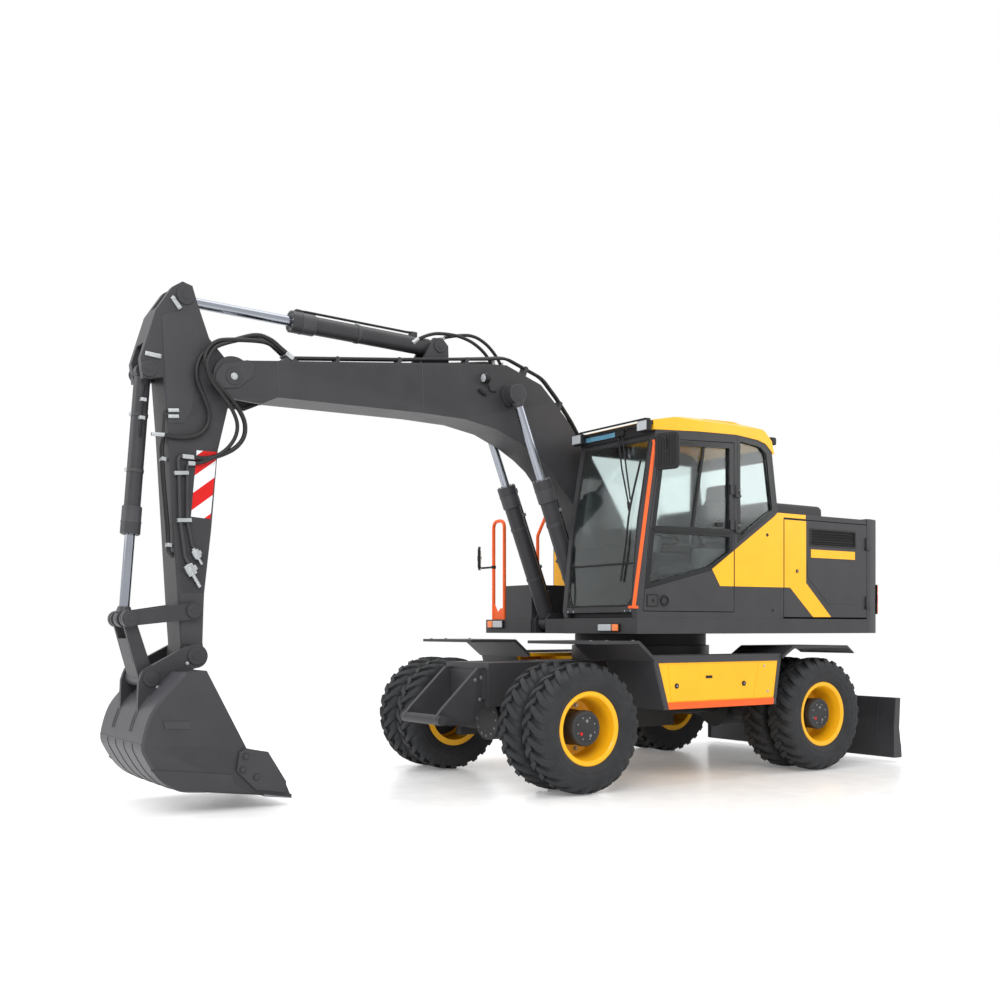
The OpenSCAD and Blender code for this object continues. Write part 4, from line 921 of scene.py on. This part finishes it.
fascia = Piece("roof_front", "upper", "dark")
fascia.box((934, 296, 2856), (944, 1208, 2926), BLACK, 4)
fascia.box((944, 345, 2884), (952, 850, 2924), TINT, 3)
fascia.pipe([(962, 290, 2966), (975, 330, 2974), (975, 1175, 2974), (962, 1215, 2966)], 20, 8, BLACK, 10)
fascia.done()
tank = Piece("tank_front_panel", "upper", "yellow")
tank.plate(rounded(-1205, 1580, -420, 2120, 30), -104, -100.3, YELLOW, 1.5, 2, QUARTER)
tank.pipe([(112, -1150, 1960), (135, -1110, 1990), (135, -1060, 1900), (112, -1040, 1840)], 30, 11, HOSE, 10)
tank.done()
hump = Piece("hood_hump", "hood", "charcoal")
hump.plate([(-1392, 2292), (-592, 2292), (-592, 2404), (-640, 2424), (-1350, 2424), (-1392, 2400)], -420, 985,
           PANEL, 26, 4)
hump.done()


# Steps, fenders, axles and blade

# Outline in X and Z, two distances from the middle plane, finish and easing
STEP_PLATES = (
    ([(825, 624), (962, 1052), (912, 1052), (780, 624)], 1200, 1247, CHARCOAL, 3),
    ([(-466, 624), (-436, 624), (-504, 1052), (-537, 1052)], 1200, 1247, CHARCOAL, 3),
    ([(826, 622), (964, 1050), (970, 1048), (832, 620)], 655, 1246, CHARCOAL, 2),
    ([(-466, 622), (-472, 620), (-543, 1048), (-537, 1050)], 655, 1246, CHARCOAL, 2),
    ([(-538, 1044), (962, 1044), (962, 1058), (-538, 1058)], 1040, 1252, CHARCOAL, 3),
    ([(-530, 1004), (946, 1004), (961, 1052), (-537, 1052)], 1241, 1249, CHARCOAL, 2),
    ([(792, 990), (-236, 990), (-170, 690), (760, 690)], 1242, 1246, YELLOW, 2),
    ([(-262, 990), (-470, 990), (-425, 690), (-196, 690)], 1242, 1245, YELLOW, 2),
    ([(-440, 625), (785, 625), (800, 676), (-448, 676)], 1242, 1250, ORANGE, 2))
# Rows of teeth: number, first X, foot, top, width, two distances from the middle plane, finish
STEP_TEETH = ((44, -432, 676, 686, 14, 1243, 1249, ORANGE), (53, -525, 1057, 1069, 15, 1222, 1250, CHARCOAL),
              (53, -525, 1057, 1066, 15, 1060, 1088, CHARCOAL))
steps = Piece("step_trim", "chassis", "charcoal")
for s in (1, -1):
    for outline, y0, y1, material, bevel in STEP_PLATES:
        steps.plate(outline, s * y0, s * y1, material, bevel)
    for number, x0, foot, top, wide, y0, y1, material in STEP_TEETH:
        for x in range(x0, x0 + 28 * number, 28):
            outline = [(x, foot), (x + wide, foot), (x + wide - 4, top), (x + 4, top)]
            steps.plate(outline, s * y0, s * y1, material)
    for x, z in ((700, 815), (-75, 816)):
        knob(steps, x, z, s * 1244, s * 1253, 22, BLACK, 24, 3)
        knob(steps, x, z, s * 1251, s * 1255, 10, STEEL_EDGE, 16, 1)
    steps.box((300, s * 1244, 870), (372, s * 1252, 892), BLACK, 3)
    for x, z in ((-330, 960), (-372, 740)):
        steps.bolt((x, s * 1245, z), (0, s, 0), 9, 6, ZINC)
    for x in (1130, 1400, 1560):
        steps.bolt((x, s * 1200, 1185), (0, 0, 1), 11, 7, STEEL_EDGE)
    steps.drum((FRONT_X + 128, s * 250, AXLE_Z), (FRONT_X + 140, s * 250, AXLE_Z), 38, CAST, 24, 3)
    for z in (172, -172):
        steps.drum((FRONT_X, s * 590, AXLE_Z + z * 0.99), (FRONT_X, s * 590, AXLE_Z + z * 1.06), 48, CAST,
                   24, 4)
    for z in (478, 540):
        steps.drum((1694, s * 445, z), (1714, s * 445, z), 15, RED, 20, 3)
    for x, z in ((1960, 880), (2020, 860), (1975, 700)):
        steps.bolt((x, s * 270, z), (0, s, 0), 14, 10, STEEL_EDGE)
for x, r, way in ((FRONT_X + 130, 140, 1), (REAR_X - 140, 155, -1)):
    for y, z in around(12, r):
        steps.bolt((x, y, AXLE_Z + z), (way, 0, 0), 9, 7, STEEL_EDGE)
steps.done()

BLADE_X = -2170
CHEEK = [(58, 50), (-62, 48), (-56, 110), (-22, 330), (-40, 618), (34, 618), (60, 330)]
RIB = [(30, 180), (62, 330), (30, 560), (12, 560), (12, 180)]
plough = Piece("blade_trim", "blade", "charcoal")
for s in (1, -1):
    plough.plate([(BLADE_X + x, z) for x, z in CHEEK], s * 1225, s * 1249, CHARCOAL, 4)
    knob(plough, -1400, 480, s * 272, s * 280, 56, CHARCOAL, 32, 4)
plough.box((BLADE_X - 66, -1240, 46), (BLADE_X - 46, 1240, 175), STEEL_EDGE, 4)
for k in range(12):
    plough.bolt((BLADE_X - 66, -1150 + k * 209, 120), (-1, 0, 0), 13, 4, STEEL_EDGE, False)
for y in (-1050, -700, -350, 350, 700, 1050):
    plough.plate([(BLADE_X + x, z) for x, z in RIB], y - 8, y + 8, CHARCOAL, 2)
plough.done()


# Pins, glands and rod eyes of the cylinders

ALONG = (1, 0, 0)


def pin_cap(piece, at, half, r, keeper=None):
    """Round boss with a chamfer and a small centre on both ends of a pin; at is (x, z)."""
    for s in (1, -1):
        a = Vector((at[0], s * (half - 2), at[1]))
        out = Vector((0, s, 0))
        piece.drum(a, a + out * 14, r, CHARCOAL, 36, 5)
        piece.drum(a + out * 13, a + out * 18, r * 0.42, CHARCOAL, 28, 2)
        if keeper:
            d = Vector((keeper[0], 0, keeper[1])).normalized()
            piece.bolt(a + out * 7 + d * r * 1.35, out, 10, 8, ZINC)


def gland(piece, length, r, y, bands):
    """Screwed head of a cylinder along X, with bolts round its face, and clamp bands on the barrel."""
    for dy, z in around(10, r - 15):
        piece.bolt((length - 1, y + dy, z), ALONG, 8, 9, STEEL_EDGE, False)
    band = [(0, r - 3), (0, r + 2), (12, r + 2), (12, r - 3)]
    piece.lathe((length - 92, y, 0), ALONG, band, CHARCOAL, 48, True)
    sleeve = [(0, r - 16), (0, r - 8), (8, r - 1), (110, r - 1), (110, r - 16)]
    piece.lathe((length - 200, y, 0), ALONG, sleeve, CHARCOAL, 48, True)
    for x, rr in bands:
        clamp = [(0, rr - 2), (0, rr + 4), (26, rr + 4), (26, rr - 2)]
        piece.lathe((x, y, 0), ALONG, clamp, CAST, 48, True)
        piece.box((x, y - 14, rr), (x + 26, y + 14, rr + 14), ZINC, 3)


def ram(foot, tip):
    """Frame along a cylinder from the pivot of its barrel to the pin of its rod, and their distance."""
    return member(foot, tip), math.hypot(tip.x - foot.x, tip.z - foot.z) * 1000


def rod_eye(name, body, base, reach, r, half, sides, rod_r, neck=28):
    """Painted eye at the end of a rod, with the collar that it is screwed into."""
    piece = Piece(name, body, "charcoal", base)
    collar = [(0, rod_r - 2), (0, rod_r + 7), (neck - 20, rod_r + 10), (neck + 15, rod_r + 20),
              (neck + 15, rod_r - 2)]
    for y in sides:
        knob(piece, reach, 0, y - half - 1, y + half + 1, r + 2, CHARCOAL, 44, 5)
        piece.lathe((reach - r - neck, y, 0), ALONG, collar, CHARCOAL, 36, True)
    piece.done()


LIFT_PIN, CROWD_PIN, CURL_PIN = (1850, 950), (-490, 420), (1867, 480)
rocker_tip = ARM @ Vector((CURL_PIN[0], 0, CURL_PIN[1]))
BOOM_RAM, BOOM_REACH = ram(pivot("boom_barrel_pivot"), BOOM @ Vector((LIFT_PIN[0], 0, LIFT_PIN[1])))
ARM_RAM, ARM_REACH = ram(pivot("arm_barrel_pivot"), ARM @ Vector((CROWD_PIN[0], 0, CROWD_PIN[1])))
BUCKET_RAM, BUCKET_REACH = ram(pivot("bucket_barrel_pivot"), rocker_tip)
LIFT_SIDES = (-270, 270)

lift = Piece("boom_barrel_trim", "boom_barrels", "charcoal", BOOM_RAM)
for y in LIFT_SIDES:
    gland(lift, 1310, 84, y, ((420, 72), (900, 72)))
    lift.pipe([(250, y, 84), (330, y, 92), (1180, y, 92), (1240, y, 84)], 60, 11, BLACK)
    for x in (500, 1000):
        lift.box((x, y - 22, 70), (x + 30, y + 22, 108), ZINC, 4)
    lift.box((225, y - 26, 62), (275, y + 26, 104), CAST, 6)
    lift.box((1225, y - 24, 70), (1268, y + 24, 98), CAST, 6)
lift.done()
rod_eye("boom_rod_eyes", "boom_rods", BOOM_RAM, BOOM_REACH, 80, 45, LIFT_SIDES, 37)
rod_eye("arm_rod_eye", "arm_rod", ARM_RAM, ARM_REACH, 80, 50, (0,), 39, 33)
rod_eye("bucket_rod_eye", "bucket_rod", BUCKET_RAM, BUCKET_REACH, 60, 45, (0,), 36)
crowd = Piece("arm_barrel_trim", "arm_barrel", "charcoal", ARM_RAM)
gland(crowd, 1285, 84, 0, ((700, 71),))
crowd.box((170, -30, 60), (225, 30, 104), CAST, 6)
crowd.box((1200, -26, 72), (1248, 26, 100), CAST, 6)
crowd.pipe([(200, 0, 100), (260, 0, 96), (1150, 0, 96), (1222, 0, 92)], 50, 10, BLACK)
crowd.done()
curl = Piece("bucket_barrel_trim", "bucket_barrel", "charcoal", BUCKET_RAM)
gland(curl, 1165, 70, 0, ((300, 57), (700, 57)))
curl.lathe((1076, 0, 0), ALONG, [(-60, 56), (-60, 60), (0, 70), (0, 56)], CHARCOAL, 48, True)
curl.pipe([(110, 66, 0), (160, 78, 10), (330, 80, 10), (430, 78, 6), (470, 60, 0)], 40, 10, BLACK)
for x in (200, 330):
    curl.box((x, 52, -16), (x + 26, 96, 22), ZINC, 4)
curl.done()


# Boom

BOOM_TOP = [(300, 408), (700, 700), (1175, 1010), (1390, 1115), (1575, 1195), (1960, 1190), (2155, 1105),
            (2905, 730), (3740, 321)]
PIPE_HEIGHTS = [18, 24, 46, 62, 70, 66, 42, 34, 28]
ARM_EAR = [(4250, -30), (4235, -90), (4185, -128), (4060, -60), (3990, 60), (4000, 150), (4060, 165),
           (4145, 108), (4225, 55)]
LAMP_AT, LAMP_WAY = (2128, 208, 978), (1, 0.05, -0.45)
pipes = Piece("boom_pipes", "boom", "charcoal", BOOM)
for w, extra in ((152, 0), (112, 14), (-152, 0), (-112, 14)):
    line = [lifted(BOOM_TOP, h + (extra if h > 40 else 0))[i] for i, h in enumerate(PIPE_HEIGHTS)]
    pipes.tube(bent(level(w, line), 260, 6), 13, HOSE, 12)
for u, v, h in ((1320, 1081, 58), (1760, 1193, 68), (2330, 1017, 40), (2905, 730, 34), (3400, 487, 30)):
    for s in (1, -1):
        pipes.box((u - 16, s * 132 - 42, v - 6), (u + 16, s * 132 + 42, v + h + 16), CAST, 5)
        pipes.bolt((u, s * 132, v + h + 16), (0, 0, 1), 8, 7, ZINC)
pin_cap(pipes, LIFT_PIN, 215, 80)
pin_cap(pipes, (0, 0), 176, 120)
pin_cap(pipes, (2580, 1065), 106, 52)
for s in (1, -1):
    pipes.plate(ARM_EAR, s * 174, s * 186, CHARCOAL, 4)
    knob(pipes, 4120, 0, s * 184, s * 192, 62, CHARCOAL, 32, 4)
    pipes.bolt((4120, s * 191, 0), (0, s, 0), 20, 14, ZINC)
    stripe(pipes, (3850, 262), (3752, 10), s * 174.5, s * 177.5, 7, CHARCOAL)
    stripe(pipes, (2712, 815), (2578, 450), s * 174.5, s * 177.5, 7, CHARCOAL)
pipes.box((2090, 176, 956), (2112, 196, 1000), CAST, 3)
pipes.lathe(LAMP_AT, LAMP_WAY, [(-30, 0), (-30, 26), (-14, 40), (26, 44), (34, 40), (34, 0)], BLACK, 28)
pipes.lathe(LAMP_AT, LAMP_WAY, [(33, 0), (33, 36), (37, 30), (38, 0)], LENS_WHITE, 28)
pipes.pipe([(2110, 184, 990), (2080, 190, 940), (2040, 184, 905), (1990, 178, 925)], 25, 7, HOSE, 8)
pipes.pipe([(2150, 186, 862), (2110, 186, 855), (2073, 186, 853)], 20, 14, BLACK, 10)
for w, v in ((152, 352), (118, 348), (70, 345)):
    pipes.drum((3735, w, v - 3), (3775, w + 3, v + 3), 21, ZINC, 6, 3)
    pipes.drum((3772, w + 3, v + 2), (3806, w + 5, v + 8), 19, ZINC, 24, 3)
pipes.box((3690, 50, 318), (3738, 172, 350), CAST, 6)
for at, way in (((2795, 60, 1000), (-0.55, 0, 0.84)), ((2570, 20, 1150), (-0.75, 0, 0.66)),
                ((2030, 60, 1196), (0.5, 0, 0.86)), ((1900, 20, 1216), (0.6, 0, 0.8))):
    a = Vector(at)
    d = Vector(way).normalized()
    pipes.drum(a - d * 14, a + d * 30, 20, ZINC, 6, 3)
    pipes.drum(a + d * 28, a + d * 58, 17, ZINC, 24, 3)
pipes.done()


# Arm

# Outline, distance of the outer face from the middle plane, finish and easing
ARM_PLATES = (
    ([(-378, 420), (-374, 374), (-320, 318), (-254, 283), (-170, 264), (-88, 258), (100, 255), (330, 262),
      (420, 300), (446, 412), (-300, 566)], 145, CHARCOAL, 3),
    ([(1630, 152), (1990, 90), (1990, -66), (1605, -22)], 144, CHARCOAL, 3),
    ([(-462, 512), (-436, 526), (-368, 456), (-394, 434)], 156, ZINC, 4),
    ([(18, 642), (-14, 642), (-20, 530), (12, 530)], 156, ZINC, 4))
HAZARD = [(591, 180), (569, 31), (1062, 9), (1073, 152)]
fit = Piece("arm_fittings", "arm", "charcoal", ARM)
pin_cap(fit, CROWD_PIN, 140, 66)
pin_cap(fit, (100, 600), 140, 58)
pin_cap(fit, (1745, 50), 190, 52)
for s in (1, -1):
    for outline, w, material, bevel in ARM_PLATES:
        fit.plate(outline, s * 139, s * w, material, bevel)
    for u, v in ((-440, 505), (-390, 455), (2, 625), (-4, 548)):
        fit.bolt((u, s * 156, v), (0, s, 0), 11, 8, ZINC)
fit.plate(HAZARD, 139.5, 142, WHITE)
for lo, hi in ((448, 600), (734, 868), (1010, 1100)):
    fit.plate(slanted(HAZARD, lo, hi, -1.03), 141, 143.5, RED)
fit.pipe(level(160, [(650, 205), (662, 300), (700, 306), (788, 287), (1115, 232), (1370, 158), (1418, 122)]),
         60, 13, CHARCOAL)
fit.pipe(level(160, [(692, 190), (705, 236), (740, 236), (1106, 183), (1275, 122), (1325, 82)]), 50, 11,
         CHARCOAL)
for (u0, v0), (u1, v1) in (((793, 318), (771, 228)), ((1122, 250), (1102, 158))):
    way = math.degrees(math.atan2(v1 - v0, u1 - u0))
    turn = placed(((u0 + u1) / 2, 160, (v0 + v1) / 2), -way)
    fit.box((-52, -20, -14), (52, 16, 14), ZINC, 4, turn=turn)
for a, b, r in (((1301, 168, 113), (1403, 168, 32), 17), ((1421, 168, 139), (1567, 168, 23), 22)):
    a, b = Vector(a), Vector(b)
    u = (b - a).normalized()
    fit.drum(a, a + u * 22, r * 0.8, ZINC, 6, 1)
    fit.drum(a + u * 20, a + u * 58, r * 1.15, ZINC, 24, 3)
    fit.drum(a + u * 56, a + u * 84, r, ZINC, 6, 2)
    fit.drum(a + u * 82, b, r * 0.62, ZINC, 20, 2)
    tilt = placed(a + u * 46, -math.degrees(math.atan2(u.z, u.x)))
    fit.box((-r * 1.9, -26, -r * 1.5), (r * 1.9, 16, r * 1.5), ZINC, 5, 3, tilt)
    fit.box((-r * 0.8, -10, -r * 2.3), (r * 0.9, 12, r * 1.6), ZINC, 4, 2, tilt)
for w, r, line in ((160, 17, [(661, 284), (650, 191)]), (160, 17, [(703, 236), (692, 185)]),
                   (152, 14, [(361, 429), (341, 353)]), (152, 14, [(403, 423), (384, 347)]),
                   (156, 15, [(557, 521), (539, 424)])):
    fit.drum(*level(w, line), r, ZINC, 6, 2)
for u, v in ((361, 429), (403, 423)):
    fit.pipe([(u, 152, v), (u + 14, 152, v + 26), (u + 110, 150, v + 16), (545, 148, 440)], 24, 9, HOSE, 10)
for w, line in ((100, [(620, 412), (800, 378), (970, 338), (1178, 288), (1345, 258), (1385, 210)]),
                (70, [(620, 416), (800, 382), (1178, 292), (1345, 258), (1385, 210)])):
    fit.pipe([(545, w, 412)] + level(w - 2, line), 30, 10, HOSE, 10)
for u, v in ((700, 392), (1300, 262)):
    fit.box((u - 14, 52, v - 16), (u + 14, 116, v + 18), ZINC, 4)
fit.done()


# Hoses


def hose(name, r, on_boom, on_arm=()):
    """Hydraulic hose of a fixed length between two fittings, on the boom or from there to the arm."""
    way = spline([BOOM @ Vector(p) for p in on_boom] + [ARM @ Vector(p) for p in on_arm], 5)
    piece = Piece(name, "boom", "charcoal", Matrix.Identity(4))
    piece.tube(way, r, HOSE, 14)
    mesh = bpy.data.meshes.new(name)
    piece.bm.to_mesh(mesh)
    piece.bm.free()
    mesh.materials.append(HOSE)
    mesh.set_sharp_from_angle(angle=math.radians(60))
    ob = bpy.data.objects.new(name, mesh)
    SCENE.collection.objects.link(ob)
    if on_arm:
        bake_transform(ob)
    else:
        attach(ob, "boom")


hose("arm_hose_curl", 0.017,
     [(3750, 152, 352), (3842, 160, 372), (3960, 172, 392), (4090, 182, 352)],
     [(-190, 186, 150), (-120, 188, 236), (-30, 188, 276), (83, 186, 269), (194, 184, 205), (300, 180, 145),
      (400, 176, 140), (480, 172, 190), (520, 166, 270), (538, 158, 360), (541, 156, 430)])
hose("arm_hose_tool", 0.017,
     [(3750, 118, 348), (3850, 130, 362), (3960, 172, 358), (4080, 204, 310)],
     [(-240, 209, 105), (-200, 212, 178), (-143, 213, 222), (-75, 214, 238), (-5, 214, 222), (52, 214, 178),
      (118, 213, 95), (180, 211, 5), (250, 208, -75), (330, 204, -125), (425, 198, -132), (518, 190, -82),
      (597, 180, 20), (640, 168, 120), (650, 160, 200)])
hose("arm_hose_drain", 0.014,
     [(3750, 70, 345), (3850, 78, 375), (3960, 100, 388), (4090, 150, 335)],
     [(-190, 226, 140), (-110, 238, 208), (-10, 240, 225), (85, 238, 180), (170, 236, 85), (255, 230, -5),
      (345, 224, -60), (440, 212, -65), (540, 198, -20), (620, 180, 60), (670, 166, 135), (692, 160, 186)])
hose("crowd_hose_rod", 0.014,
     [(2789, 60, 1010), (2745, 60, 1065), (2690, 60, 1120), (2620, 60, 1172), (2525, 60, 1216),
      (2420, 58, 1252), (2310, 56, 1268), (2219, 56, 1262), (2140, 58, 1240), (2080, 60, 1208),
      (2045, 60, 1180)])
hose("crowd_hose_base", 0.014,
     [(2566, 20, 1154), (2520, 20, 1196), (2450, 20, 1246), (2377, 20, 1292), (2300, 20, 1330),
      (2215, 20, 1346), (2119, 20, 1336), (2040, 20, 1308), (1975, 20, 1272), (1925, 20, 1232)])


# Bucket and its links

HEEL_PIN = (322, -154)
BUCKET_BACK = [(175, -105), (315, -255), (415, -390), (470, -585), (440, -690), (345, -830), (215, -915),
               (30, -939)]
CURVE = [(p.x, p.z) for p in spline(level(0, BUCKET_BACK), 8)]
SKIN = lifted(CURVE, 2)


def curved_sheet(piece, outer, inner, half, material):
    """Sheet across the machine between two lines with the same number of points."""
    n = len(outer)
    faces = [(0, n, 3 * n, 2 * n), (n - 1, 3 * n - 1, 4 * n - 1, 2 * n - 1)]
    for i in range(n - 1):
        faces += [(i, i + 1, n + i + 1, n + i), (2 * n + i, 3 * n + i, 3 * n + i + 1, 2 * n + i + 1),
                  (i, 2 * n + i, 2 * n + i + 1, i + 1), (n + i, n + i + 1, 3 * n + i + 1, 3 * n + i)]
    piece.solid(level(-half, outer + inner) + level(half, outer + inner), faces, material)


shovel = Piece("bucket_trim", "bucket", "charcoal", BUCKET)
pin_cap(shovel, (0, 0), 230, 62, (0.8, -0.6))
pin_cap(shovel, HEEL_PIN, 230, 56, (-0.6, -0.8))
for s in (1, -1):
    for u, v in ((-256, -705), (-233, -798), (-335, -858)):
        shovel.bolt((u, s * 520, v), (0, s, 0), 20, 15, CAST)
    shovel.plate([(323, -430), (138, -442), (143, -494), (312, -486)], s * 498, s * 506, CHARCOAL, 3)
    shovel.plate([(416, -754), (-150, -828), (-185, -900), (-300, -962), (-405, -985), (215, -905),
                  (345, -822)], s * 498, s * 508, CHARCOAL, 4)
curved_sheet(shovel, SKIN, lifted(CURVE, -20), 501, CHARCOAL)
for w in (188, 232, -188, -232):
    shovel.tube(level(w, SKIN[9:22]), 6, CHARCOAL, 8)
for w in (-300, -100, 100, 300):
    shovel.tube(level(w, SKIN[24:50]), 4, CAST, 8)
shovel.tube([(CURVE[24][0] + 2, y, CURVE[24][1]) for y in (-499, 0, 499)], 5, CHARCOAL, 8)
shovel.plate([(-392, -985), (-612, -1024), (-608, -1030), (-405, -1004)], -512, 512, STEEL_EDGE, 2)
shovel.done()
links = Piece("link_trim", "rocker_links", "charcoal", CENTRE)
tip = rocker_tip * 1000
pin_cap(links, (tip.x, tip.z), 183, 52)
links.done()
cover = Piece("link_cover", "bucket_link", "charcoal", CENTRE)
heel = BUCKET @ Vector((HEEL_PIN[0], 0, HEEL_PIN[1])) * 1000
along = Vector((tip.x - heel.x, tip.z - heel.z))
reach = along.length
along.normalize()
across = Vector((-along.y, along.x))
cover.plate([tuple(Vector((heel.x, heel.z)) + along * a + across * b)
             for a, b in ((120, -54), (reach - 130, -47), (reach - 130, -32), (120, -32))],
            -101, 101, CHARCOAL, 3)
cover.done()
